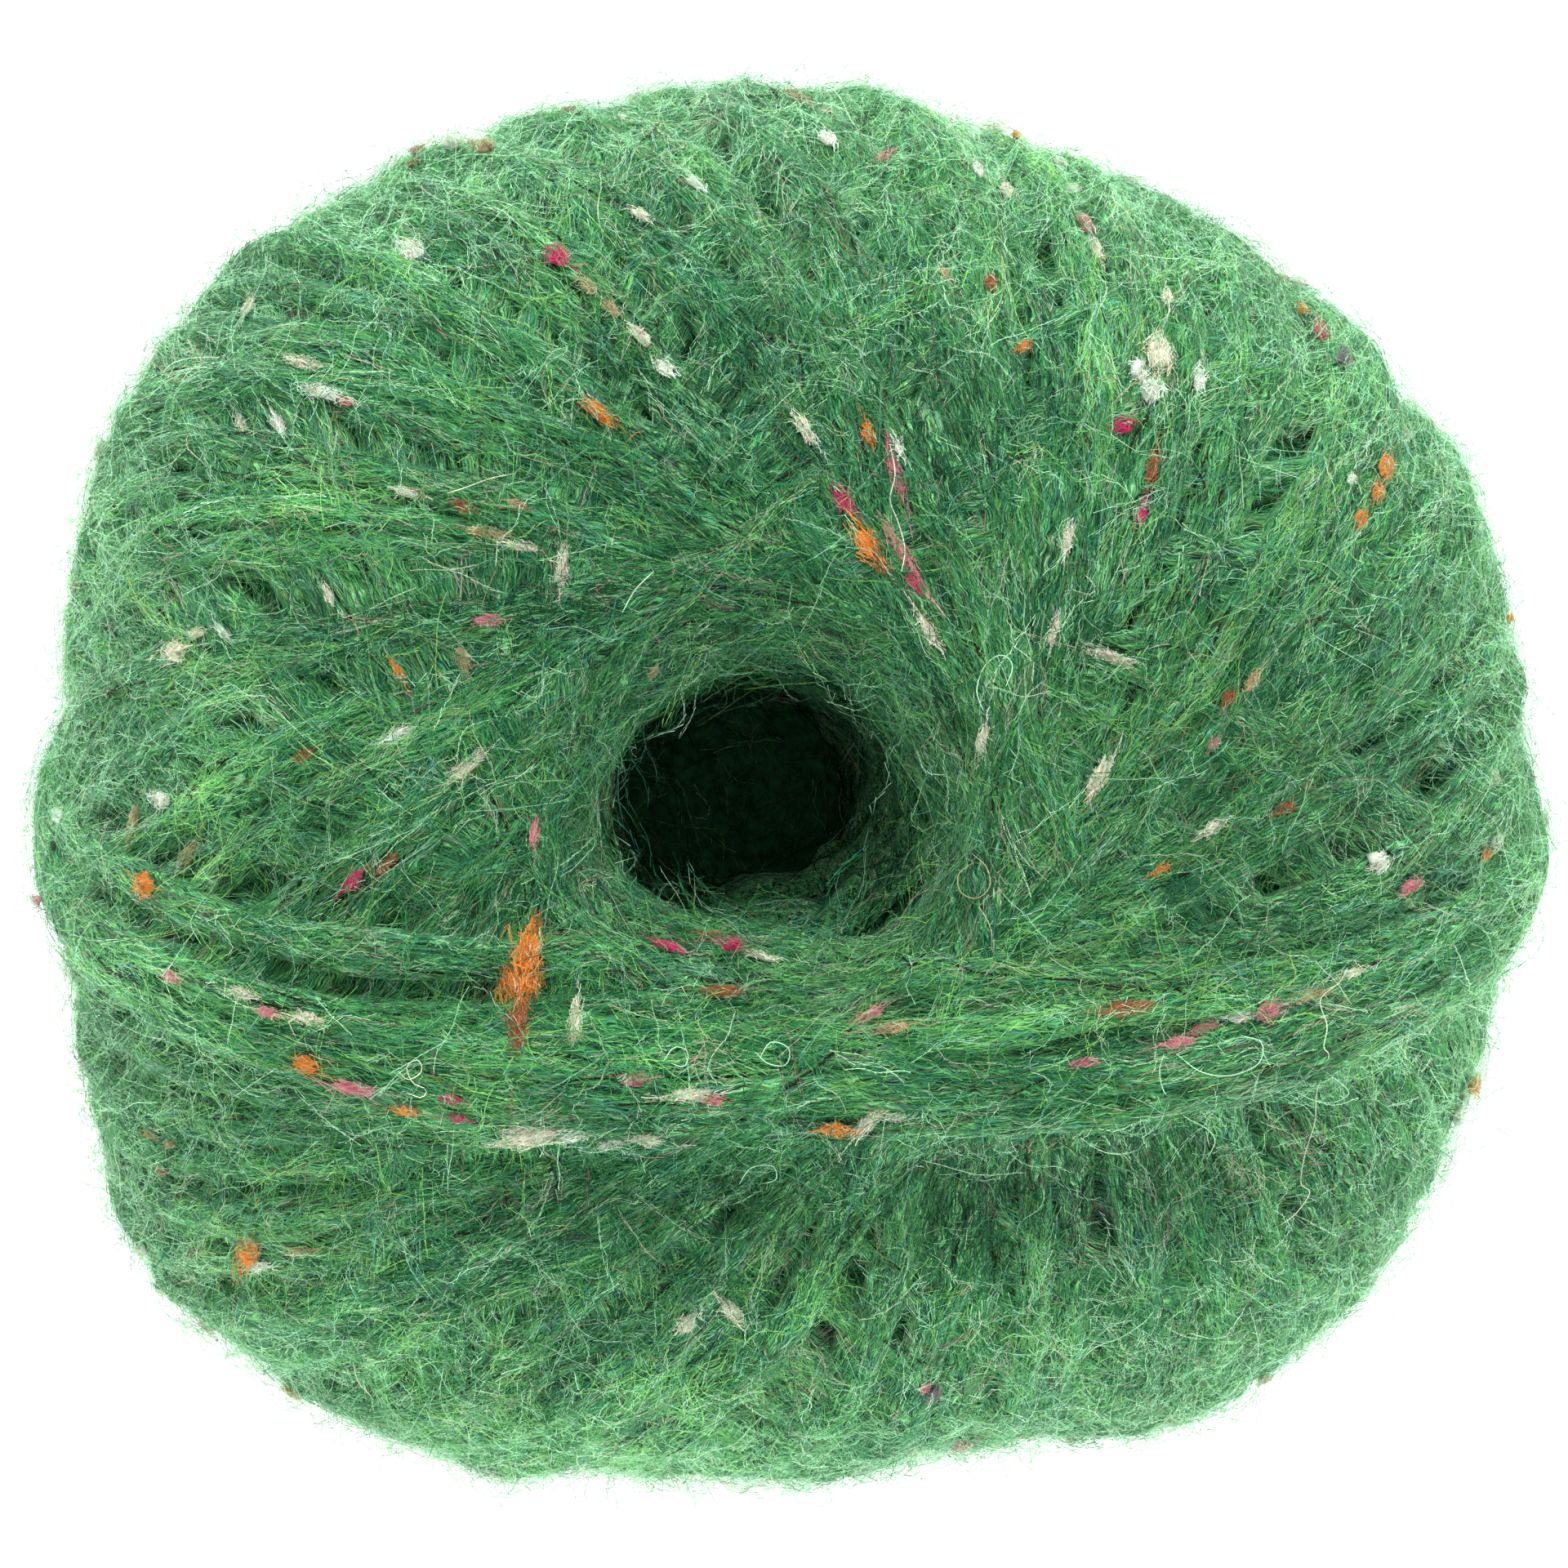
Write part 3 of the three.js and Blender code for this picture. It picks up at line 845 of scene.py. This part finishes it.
def lay_wisps():
    """The loose fibres: each starts on the mouth's edge, leads round it or in over the hollow, and sags."""
    angle = RANDOM.uniform(0, 2 * np.pi, WISPS)
    reach = mouth_radius(angle) + RANDOM.uniform(*WISP_STARTS, WISPS) * MM
    out = np.stack([np.cos(angle), np.sin(angle), 0 * angle], -1)
    starts = np.array([*HOLLOW, 0.1]) + out * reach[:, None]
    down = np.tile([0.0, 0.0, -1.0], (WISPS, 1))
    places, faces = onto(BASE, starts, down, 40 * MM)
    met = faces >= 0
    places, out = places[met], out[met]
    count = len(places)
    up = -down[:count]
    way = np.cross(up, out) * RANDOM.choice([-1, 1], (count, 1))
    way = way - out * RANDOM.uniform(*WISP_INWARD, (count, 1))
    length = RANDOM.uniform(*WISP_LENGTHS, count) * MM
    paths = fibre_paths(places, up, unit(way), length, 0.0, 0.9, WISP_STEPS, 0.6)
    forward = ((paths[:, -1] - paths[:, 0]) * way).sum(1) > 0
    paths = np.where(forward[:, None, None], paths, paths[:, ::-1])
    t = np.linspace(0, 1, WISP_STEPS)
    paths = paths + (places - paths[:, 0])[:, None]
    rise = RANDOM.uniform(0.1, 0.8, (count, 1)) * MM
    paths[..., 2] += rise + t * (1 - t) * 3 * MM * RANDOM.random((count, 1))
    paths[..., 2] -= t**2 * RANDOM.uniform(0, 4, (count, 1)) * MM
    width = RANDOM.uniform(*UNEVEN_WIDTH, count) * WISP_WIDTH
    light = np.clip(RANDOM.normal(0.5, 0.15, count), 0.02, 0.98)
    hue = pick_hues(count, np.zeros(count), 0.08)
    roll = RANDOM.normal(0, 0.6, count)
    return fibre_piece("mouth_wisps", paths, up, width, roll, hue, light, FIBRES)


lay_wisps()


# The coloured flecks: soft lumps of loose fibre spun into the yarn. Those of the face are placed by the
# photograph's pixels, with their length in mm, their width where it isn't 0.8 mm, and their direction in
# degrees where it isn't the yarn's.
Fleck = namedtuple("Fleck", "x y hue long wide heading", defaults=(0.8, None))
FACE_FLECKS = [Fleck(*row) for row in (
    # behind the hollow, from the left to the right
    (555, 185, "white", 2, 1.4), (592, 190, "tan", 2.6, 1.5), (508, 315, "white", 3, 1.6, -55),
    (685, 320, "magenta", 2, 1.4), (720, 355, "tan", 1.8), (750, 382, "tan", 1.6), (785, 415, "cream", 2.2),
    (813, 454, "white", 1.6, 1), (735, 510, "orange", 2.4, 1.1), (310, 382, "cream", 2.4),
    (375, 450, "cream", 2.8, 0.9), (400, 485, "white", 3, 1), (425, 496, "pink", 1.4, 0.6),
    (300, 520, "cream", 2.2, 0.7), (345, 520, "white", 2.4, 0.7), (850, 230, "white", 2, 0.7),
    (785, 268, "cream", 2.2, 0.6), (1012, 180, "white", 1.8, 1.2), (1080, 200, "pink", 2.2),
    (1195, 215, "white", 2), (1228, 240, "cream", 2), (1295, 208, "white", 2.6, 0.9),
    (1310, 240, "white", 2.4, 0.9), (1325, 280, "pink", 2.6, 0.9), (1338, 310, "cream", 2.6),
    (1345, 322, "orange", 1.2, 0.6), (1245, 162, "orange", 1.2, 0.7), (1590, 350, "white", 1.7, 1),
    (1587, 385, "orange", 1.3, 1), (1425, 370, "cream", 1.4), (1415, 440, "cream", 2.8, 2.1),
    (1390, 457, "white", 1.9, 1.3), (1405, 482, "white", 1.9, 1.8), (1465, 468, "white", 2.2, 0.9),
    (1371, 525, "magenta", 2, 1.2), (1408, 575, "rust", 2.4), (1395, 630, "magenta", 2.2, 0.7),
    (1640, 445, "grey", 1.8, 1.3), (1690, 575, "orange", 2.4, 1.3), (1680, 605, "orange", 1.9, 1.1),
    (1660, 637, "orange", 1.8, 0.9), (1650, 590, "white", 1.1, 0.7), (985, 530, "cream", 2.4),
    (1062, 532, "orange", 1.9), (1098, 548, "white", 1.6, 0.7), (1095, 582, "pink", 3.6, 0.9),
    (1033, 615, "magenta", 2.1, 1.1), (1062, 668, "orange", 2.3, 1.6), (1078, 692, "rust", 1.6, 1),
    (1106, 680, "pink", 3.4), (1118, 712, "magenta", 1.3, 0.7), (1138, 770, "cream", 2.6),
    (1305, 660, "cream", 2.4, 0.7), (1360, 805, "cream", 3, 0.7), (1290, 770, "cream", 2.4, 0.7),
    (1250, 430, "orange", 1.5), (1210, 350, "rust", 1.3, 0.9), (1155, 340, "tan", 1.4, 0.6),
    # left of the hollow
    (222, 798, "cream", 2.6, 1.6), (245, 778, "cream", 1.8), (277, 775, "white", 1.7, 0.5),
    (490, 897, "white", 1.8), (405, 730, "cream", 1.4, 0.6), (500, 605, "cream", 2.2, 0.7),
    (600, 655, "tan", 2.8), (640, 670, "cream", 2.4, 0.7), (690, 697, "cream", 3.4),
    (490, 822, "orange", 1.3, 0.6), (570, 805, "tan", 1.7, 0.9), (635, 620, "tan", 1.5, 0.6),
    (570, 622, "rust", 1.4), (600, 760, "pink", 2.2, 0.7), (575, 938, "cream", 3.2, 0.9),
    (375, 925, "rust", 1.7), (205, 978, "white", 1.9, 1.2), (170, 1012, "tan", 3.4, 0.8, 60),
    (185, 1085, "orange", 2.1, 1.8), (235, 1052, "tan", 2.8, 1, 35), (435, 1080, "magenta", 2, 0.9),
    (475, 1060, "rust", 2.4, 0.6), (650, 1022, "pink", 1.8, 0.6), (795, 818, "tan", 1.2),
    (80, 1000, "white", 1.8, 0.9), (55, 1100, "pink", 1.8),
    # the orange slub below the hollow and what lies round it
    (650, 1137, "orange", 2, 1, 75), (648, 1168, "orange", 2.6, 2, 80), (638, 1212, "orange", 3.2, 2.9, 80),
    (632, 1198, "orange", 2.4, 2, 100), (646, 1200, "orange", 2.6, 2, 80), (636, 1258, "rust", 3, 1.5, 85),
    (705, 1250, "cream", 3, 0.8, 85), (815, 1165, "magenta", 2.2, 0.7, -20),
    (895, 1165, "magenta", 1.7, 1.2), (868, 1153, "rust", 1.6), (885, 1220, "rust", 2.6, 0.9),
    (925, 1175, "cream", 3, 0.6, -25),
    # on the ridge, from the left to the right
    (215, 1195, "pink", 1.5), (300, 1217, "cream", 2.2), (330, 1240, "pink", 1.8, 0.7),
    (380, 1247, "cream", 2.4), (380, 1300, "orange", 2, 1.6), (440, 1330, "pink", 3.2, 0.9),
    (500, 1356, "orange", 1.7), (555, 1342, "magenta", 1.4, 0.7), (562, 1365, "magenta", 1.2, 0.6),
    (650, 1380, "cream", 4, 2), (702, 1386, "white", 2.4), (748, 1395, "white", 3.2, 0.9),
    (792, 1392, "cream", 2), (778, 1320, "pink", 1.9, 1), (850, 1340, "cream", 3),
    (876, 1346, "pink", 1.3, 0.7), (1021, 1377, "orange", 2, 1.2), (1065, 1368, "cream", 3.6, 0.9),
    (1096, 1364, "white", 1.8, 0.7), (1065, 1245, "pink", 2.6), (1095, 1262, "tan", 2.8, 0.7),
    (1325, 1300, "pink", 2.2, 0.6), (1440, 1275, "pink", 2.4, 0.7), (1470, 1259, "pink", 2.2),
    (1515, 1243, "white", 1.8), (1547, 1237, "pink", 2, 1.7), (1600, 1218, "tan", 3.4, 0.7),
    (1648, 1192, "cream", 2.8, 0.5),
    # right of the hollow
    (1345, 950, "cream", 3.4, 0.9, 60), (1480, 1015, "cream", 2.4), (1378, 1234, "rust", 3.4, 0.9),
    (1420, 1065, "orange", 1.3, 0.6), (1570, 990, "rust", 1.8), (1600, 968, "tan", 1.8, 0.6),
    (1500, 857, "rust", 1.2), (1530, 835, "tan", 1.8), (1484, 912, "pink", 1.2, 0.6),
    (1205, 905, "cream", 2.6, 0.6), (1680, 1055, "white", 1.8, 1.6), (1720, 1085, "pink", 2.2),
    (1825, 1030, "white", 1.8, 0.9), (1812, 1048, "orange", 1.2, 0.7), (1795, 1325, "orange", 2.2, 1.3),
    (1840, 760, "orange", 1, 0.7),
    # below the ridge
    (310, 1525, "orange", 3.6, 1.6), (320, 1546, "white", 2.2), (370, 1528, "tan", 2.8, 0.7),
    (190, 1387, "orange", 1.7, 0.6), (213, 1399, "orange", 1.3, 0.5), (205, 1430, "rust", 1.5),
    (895, 1600, "cream", 2.4, 1.2), (840, 1615, "cream", 1.6, 1.3), (1140, 1700, "grey", 1.7, 1.3),
    (1130, 1695, "pink", 1, 0.6),
)]
HIDDEN_FLECKS = 230
HIDDEN_WIDTHS, HIDDEN_SHAPES = (0.6, 1.6), (1.2, 3.0)
HUE_CHANCES = [5, 5, 3, 3, 2, 3, 1.5, 0.8, 0, 1]
FLECK_GROWTH = (1.1, 1.25)
FLECK_STEPS = 5
FLECK_FIBRE_WIDTH = 0.060 * MM
LUMP_UNEVEN = 0.22
LUMP_LONG, LUMP_WIDE, LUMP_HIGH = 0.40, 0.37, 0.28
LUMP_ENDS = 0.94

# How far flecks stand off the yarn, in millimetres: all of them, for their width, and more on the flanks
FLECK_LIFT, WIDTH_LIFT, FLANK_LIFT = 0.05, 0.14, 0.35
FLECK_RINGS, FLECK_SIDES = 6, 8
FLECK_HUES = list(HUES)


def seen_place(x, y):
    """Where a pixel's ray meets the yarn, or the nearest place towards the ball's middle where it does."""
    for inward in np.linspace(0, 0.2, 41):
        at = [x + (PHOTO_MIDDLE[0] - x) * inward, y + (PHOTO_MIDDLE[1] - y) * inward]
        start, direction = through_pixel(*at)
        place, _, face, _ = BASE.ray_cast(start, direction, 2)
        if face is not None:
            return np.array(place), np.array(direction), face
    raise ValueError(f"no yarn at {x}, {y}")


def skin_facing(places):
    """The skin's normals nearest to places."""
    normals = []
    for place in places.tolist():
        face = SKIN.find_nearest(place)[2]
        normals.append(SKIN_NORMALS[SKIN_FACES[face]].mean(0))
    return unit(np.array(normals))


def gather_flecks():
    """All flecks: places, normals, directions, hue numbers, lengths and widths."""
    places, directions, rows = [], [], []
    for fleck in FACE_FLECKS:
        place, _, face = seen_place(fleck.x, fleck.y)
        places.append(place)
        if fleck.heading is None:
            directions.append(BASE_ALONG[face])
        else:
            heading = math.radians(fleck.heading)
            directions.append(np.array([math.cos(heading), math.sin(heading), 0]))
        rows.append((FLECK_HUES.index(fleck.hue), FLECK_GROWTH[0] * fleck.long, FLECK_GROWTH[1] * fleck.wide))

    def unseen(points, normals):
        return (normals[:, 2] < 0.25) * (points[:, 2] < 62 * MM) * (0.3 + 0.7 * (points[:, 2] > 3 * MM))

    more, _, faces = samples_on_yarn(HIDDEN_FLECKS, unseen)
    chance = np.array(HUE_CHANCES) / sum(HUE_CHANCES)
    for place, face in zip(more, faces):
        places.append(place)
        directions.append(BASE_ALONG[face])
        wide = RANDOM.uniform(*HIDDEN_WIDTHS)
        rows.append((RANDOM.choice(len(chance), p=chance), wide * RANDOM.uniform(*HIDDEN_SHAPES), wide))
    places = np.array(places)
    normals = skin_facing(places)
    seen = (np.arange(len(places)) < len(FACE_FLECKS))[:, None]
    width = np.array([row[2] for row in rows])[:, None]
    lift = FLECK_LIFT + WIDTH_LIFT * width + FLANK_LIFT * seen * (1 - normals[:, 2:] ** 2)
    places += normals * lift * MM
    places[:, 2] = np.maximum(places[:, 2], 0.8 * MM)
    directions = np.array(directions)
    directions = unit(directions - (directions * normals).sum(-1, keepdims=True) * normals)
    hue, long, wide = (np.array(column) for column in zip(*rows))
    return places, normals, directions, hue.astype(int), long * MM, wide * MM


def fleck_lumps(places, normals, directions, hue, long, wide):
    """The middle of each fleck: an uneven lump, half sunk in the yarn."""
    tilt = np.linspace(-0.5, 0.5, FLECK_RINGS) * np.pi * LUMP_ENDS
    turn = np.linspace(0, 2 * np.pi, FLECK_SIDES, endpoint=False)
    tilt, turn = np.meshgrid(tilt, turn, indexing="ij")
    unit_lump = np.stack([np.sin(tilt), np.cos(tilt) * np.cos(turn), np.cos(tilt) * np.sin(turn)], -1)
    across = np.cross(normals, directions)
    count = len(places)
    uneven = 1 + LUMP_UNEVEN * RANDOM.normal(0, 1, (count, FLECK_RINGS, FLECK_SIDES, 1))
    size = np.stack([LUMP_LONG * long, LUMP_WIDE * wide, LUMP_HIGH * wide], -1)
    local = unit_lump[None] * uneven * size[:, None, None]
    axes = np.stack([directions, across, normals], 1)
    points = places[:, None, None] + np.einsum("nrsk,nkj->nrsj", local, axes)
    points[..., 2] = np.maximum(points[..., 2], LOWEST)
    number = np.arange(count * FLECK_RINGS * FLECK_SIDES).reshape(count, FLECK_RINGS, FLECK_SIDES)
    ahead = np.roll(number, -1, 2)
    faces = np.stack([number[:, :-1], ahead[:, :-1], ahead[:, 1:], number[:, 1:]], -1)
    light = np.clip(RANDOM.normal(0.42, 0.16, (count, FLECK_RINGS, FLECK_SIDES)), 0.05, 0.9)
    u = fleck_hue(hue)[:, None, None] + 0 * light
    shade = np.stack([u, light], -1)
    return points.reshape(-1, 3), faces.reshape(-1, 4), shade.reshape(-1, 2)


def fleck_hue(number):
    """The middle of a hue's band on the flecks' ramp."""
    return (number + 0.5) / len(FLECK_HUES)


# The loose fibres of a fleck: how many there are for its area, how they scatter and how far they taper
FIBRES_EACH, FIBRES_FOR_AREA, FEWEST, MOST = 22, 13, 26, 280
DRAWN_OUT, SCATTER, WIDEST_START = 0.2, 0.24, 0.42
TAPER, TAPER_REACH, TAPERED, WIDEST = 0.85, 0.65, 0.7, 0.55
OWN_HUE = 0.86


def fleck_fibres(places, normals, directions, hue, long, wide):
    """The loose fibres round each fleck's middle, along it and over it."""
    each = np.clip(FIBRES_EACH + FIBRES_FOR_AREA * long * wide / MM**2, FEWEST, MOST).astype(int)
    which = np.repeat(np.arange(len(places)), each)
    count = len(which)
    across = np.cross(normals, directions)
    drawn_out = RANDOM.random(count) < DRAWN_OUT
    places, normals, directions, across, hue, long, wide = (
        values[which] for values in (places, normals, directions, across, hue, long, wide)
    )
    shift_long = RANDOM.normal(0, 1, count) * np.where(drawn_out, 0.5, SCATTER) * long
    shift_wide = np.clip(RANDOM.normal(0, SCATTER, count), -WIDEST_START, WIDEST_START) * wide
    starts = places + directions * shift_long[:, None] + across * shift_wide[:, None]
    length = RANDOM.uniform(0.25, 0.50, count) * np.where(drawn_out, 1.4, 1) * long + 0.30 * MM
    paths = fibre_paths(starts, normals, directions, length, 0.30, 0.80, FLECK_STEPS, 0.3)
    from_middle = paths - places[:, None]
    along = (from_middle * directions[:, None]).sum(-1)
    aside = (from_middle * across[:, None]).sum(-1)
    taper = np.sqrt(1 - TAPER * np.clip((along / (TAPER_REACH * long[:, None])) ** 2, 0, 1))
    widest = WIDEST * wide[:, None]
    tapered = RANDOM.random((count, 1)) < TAPERED
    kept = np.where(tapered, np.clip(aside * taper, -widest, widest), aside)
    paths = paths + across[:, None] * (kept - aside)[..., None]
    over = SCATTER * wide * np.exp(-2.5 * (shift_wide / wide) ** 2)
    t = np.linspace(0, 1, FLECK_STEPS)
    lift = over[:, None] * (0.3 + 0.8 * np.sin(np.pi * t)) + RANDOM.uniform(0.0, 0.25, count)[:, None] * MM
    paths = paths + normals[:, None] * lift[..., None]
    light = np.clip(RANDOM.normal(0.50, 0.2, count), 0.05, 0.95)
    mixed = np.where(RANDOM.random(count) < 0.5, FLECK_HUES.index("mint"), FLECK_HUES.index("tan"))
    hues = fleck_hue(np.where(RANDOM.random(count) < OWN_HUE, hue, mixed)) - 0.5 / SHADE_CELLS
    return paths, normals, hues, light


FLECK_STOPS = [(i / len(HUES), colour) for i, colour in enumerate(HUES.values())]
FLECK_YARN = fibre_material("fleck_fibres", FLECK_STOPS, steps=True)
FLECK_SET = gather_flecks()
LUMPS = fleck_lumps(*FLECK_SET)
mesh_piece("fleck_lumps", LUMPS[0], LUMPS[1], FLECK_YARN, LUMPS[2])
PATHS, FACING, HUE, LIGHT = fleck_fibres(*FLECK_SET)
WIDTH = RANDOM.uniform(0.8, 1.4, len(PATHS)) * FLECK_FIBRE_WIDTH
fibre_piece("fleck_fibres", PATHS, FACING, WIDTH, RANDOM.normal(0, 0.5, len(PATHS)), HUE, LIGHT, FLECK_YARN)


# The dark thread that binds the yarn, in the short lengths of it that show
BINDER_LENGTHS = 800
BINDER_WIDTH = 0.2 * MM


def lay_binder():
    """Its short lengths, drawn along the turns a little above them."""
    places, normals, faces = samples_on_yarn(BINDER_LENGTHS, outer_density)
    count = len(places)
    length = RANDOM.uniform(4, 9, count) * MM
    paths = drape(fibre_paths(places, normals, BASE_ALONG[faces], length, 0.06, 0.30, 9), normals, 1)
    paths = paths + normals[:, None] * RANDOM.uniform(0.1, 0.4, (count, 1, 1)) * MM
    dark = np.full(count, fleck_hue(FLECK_HUES.index("dark")) - 0.5 / SHADE_CELLS)
    width, light = np.full(count, BINDER_WIDTH), RANDOM.uniform(0.3, 0.8, count)
    return fibre_piece("binder_thread", paths, normals, width, np.zeros(count), dark, light, FLECK_YARN)


lay_binder()

# Long stray fibres that lie loose on the face, as pixels of the photograph that each passes
Stray = namedtuple("Stray", "hue lift route")
STRAYS = [Stray(*row) for row in (
    ("cream", 1.6, [(1650, 1185), (1640, 1203), (1617, 1224), (1625, 1256), (1621, 1282), (1628, 1295),
        (1612, 1336), (1610, 1374), (1598, 1412), (1593, 1448), (1604, 1460), (1588, 1483), (1569, 1499),
        (1540, 1516), (1531, 1540), (1507, 1545)]),
    ("mint", 1.8, [(1623, 1312), (1650, 1336), (1632, 1350), (1608, 1347), (1590, 1338)]),
    ("mint", 1.6, [(1425, 1291), (1420, 1312), (1427, 1339), (1448, 1365), (1476, 1381), (1488, 1397),
        (1478, 1419)]),
    ("mint", 1.9, [(1440, 1290), (1470, 1312), (1505, 1317), (1540, 1303), (1545, 1277), (1520, 1268)]),
    ("cream", 1.6, [(488, 1312), (500, 1322), (516, 1312), (512, 1298), (498, 1306), (506, 1326),
        (522, 1334), (516, 1344), (498, 1338)]),
    ("mint", 1.5, [(812, 1300), (826, 1282), (842, 1288), (838, 1306), (822, 1302)]),
    ("mint", 1.5, [(930, 1296), (944, 1276), (966, 1284), (962, 1304), (940, 1302), (925, 1288)]),
    ("mint", 1.5, [(905, 1450), (920, 1430), (946, 1428), (950, 1444), (930, 1450)]),
    ("cream", 1.5, [(432, 1668), (440, 1692), (455, 1712), (463, 1735), (458, 1756), (444, 1764),
        (428, 1758)]),
    ("cream", 1.4, [(860, 790), (880, 803), (889, 820), (890, 845), (878, 862), (858, 868)]),
    ("cream", 1.2, [(1058, 880), (1052, 900), (1036, 925), (1026, 948), (1038, 960), (1060, 955)]),
    ("mint", 1.5, [(1318, 1672), (1340, 1650), (1372, 1638), (1400, 1620), (1412, 1606)]),
    ("cream", 1.5, [(628, 580), (600, 586), (572, 596), (548, 604)]),
    ("mint", 1.5, [(800, 700), (778, 722), (762, 750)]),
    ("mint", 1.6, [(1204, 870), (1196, 845), (1206, 815), (1226, 802), (1240, 815), (1232, 840)]),
    ("cream", 1.5, [(1090, 545), (1096, 580), (1090, 612), (1100, 640), (1108, 672), (1104, 700)]),
    ("tan", 1.3, [(1190, 1045), (1208, 1062), (1212, 1085), (1196, 1100), (1176, 1092), (1174, 1070),
        (1192, 1056)]),
)]
STRAY_RADIUS = 0.05 * MM
STRAY_STEP = 0.35 * MM
STRAY_LIGHT, STRAY_SHIMMER = 0.62, 0.2
CURVE_STEPS = 12


def smooth_route(points):
    """A Catmull-Rom curve through points, in even steps."""
    padded = np.concatenate([2 * points[:1] - points[1:2], points, 2 * points[-1:] - points[-2:-1]])
    t = np.linspace(0, 1, CURVE_STEPS, endpoint=False)[:, None]
    rows = []
    for a, b, c, d in zip(padded, padded[1:], padded[2:], padded[3:]):
        square, cube = 2 * a - 5 * b + 4 * c - d, 3 * b - 3 * c + d - a
        rows.append(0.5 * (2 * b + (c - a) * t + square * t**2 + cube * t**3))
    dense = np.concatenate(rows + [points[-1:]])
    run = np.concatenate([[0], np.cumsum(np.linalg.norm(np.diff(dense, axis=0), axis=1))])
    steps = max(6, int(run[-1] / STRAY_STEP))
    return np.stack([np.interp(np.linspace(0, run[-1], steps), run, dense[:, k]) for k in range(3)], -1)


def lay_strays():
    """Thin three-sided tubes along the strays' routes, a little above the fuzz."""
    points, faces, shades, used = [], [], [], 0
    for stray in STRAYS:
        route = []
        for x, y in stray.route:
            place, ray, _ = seen_place(x, y)
            route.append(place - ray * stray.lift * MM)
        route = np.array(route)
        heights = route[:, 2].copy()
        heights[1:-1] = (heights[:-2] + 2 * heights[1:-1] + heights[2:]) / 4
        route[:, 2] = heights
        line = smooth_route(route)
        ahead = unit(np.gradient(line, axis=0))
        side = unit(np.cross(ahead, [0.0, 0.1, 1.0]))
        up = np.cross(side, ahead)
        angle = np.radians([90, 210, 330])
        radius = STRAY_RADIUS * (1 - 0.5 * np.linspace(-1, 1, len(line)) ** 4)
        ring = np.cos(angle)[None, :, None] * side[:, None] + np.sin(angle)[None, :, None] * up[:, None]
        points.append((line[:, None] + ring * radius[:, None, None]).reshape(-1, 3))
        number = used + np.arange(len(line) * 3).reshape(-1, 3)
        around = np.roll(number, -1, 1)
        faces.append(np.stack([number[:-1], around[:-1], around[1:], number[1:]], -1).reshape(-1, 4))
        light = STRAY_LIGHT + STRAY_SHIMMER * np.sin(np.linspace(0, 9, len(line)))
        hue = np.full(len(line) * 3, fleck_hue(FLECK_HUES.index(stray.hue)))
        shades.append(np.stack([hue, np.repeat(light, 3)], -1))
        used += len(line) * 3
    shade = np.concatenate(shades)
    return mesh_piece("stray_fibres", np.concatenate(points), np.concatenate(faces), FLECK_YARN, shade)


lay_strays()


# Floor, light and surroundings of a plain studio
FLOOR_REACH = 3.0
WHITE = (1, 1, 1, 1)
FLOOR_WHITE = {
    "Base Color": (0.92, 0.92, 0.92, 1), "Roughness": 1, "Specular IOR Level": 0,
    "Emission Color": WHITE, "Emission Strength": 0.35,
}
Lamp = namedtuple("Lamp", "name place aim size power")
LAMPS = [
    Lamp("key", (-0.2, 0.85, 0.6), (0, 0, 0.05), 0.6, 13.0),
    Lamp("fill", (0.75, 0.15, 0.5), (0, 0, 0.05), 0.7, 5.0),
    Lamp("front", (-0.1, -0.95, 0.4), (0, 0, 0.04), 0.7, 10.0),
]


def make_studio():
    plane = bpy.data.meshes.new("floor")
    corners = [(-1, -1), (1, -1), (1, 1), (-1, 1)]
    plane.from_pydata([(FLOOR_REACH * x, FLOOR_REACH * y, 0) for x, y in corners], [], [(0, 1, 2, 3)])
    floor = linked("floor", plane)
    white, tree, shader = new_material("studio_white")
    put(tree, shader, FLOOR_WHITE)
    plane.materials.append(white)

    world = bpy.data.worlds.new("studio")
    bpy.context.scene.world = world
    world.use_nodes = True
    put(world.node_tree, world.node_tree.nodes["Background"], {"Color": WHITE, "Strength": 1.0})

    for lamp in LAMPS:
        data = bpy.data.lights.new(lamp.name, "AREA")
        data.size = lamp.size
        data.energy = lamp.power
        light = linked(lamp.name, data)
        light.location = lamp.place
        light.rotation_euler = (Vector(lamp.aim) - Vector(lamp.place)).to_track_quat("-Z", "Y").to_euler()


make_studio()
bpy.context.scene.view_settings.view_transform = "Standard"
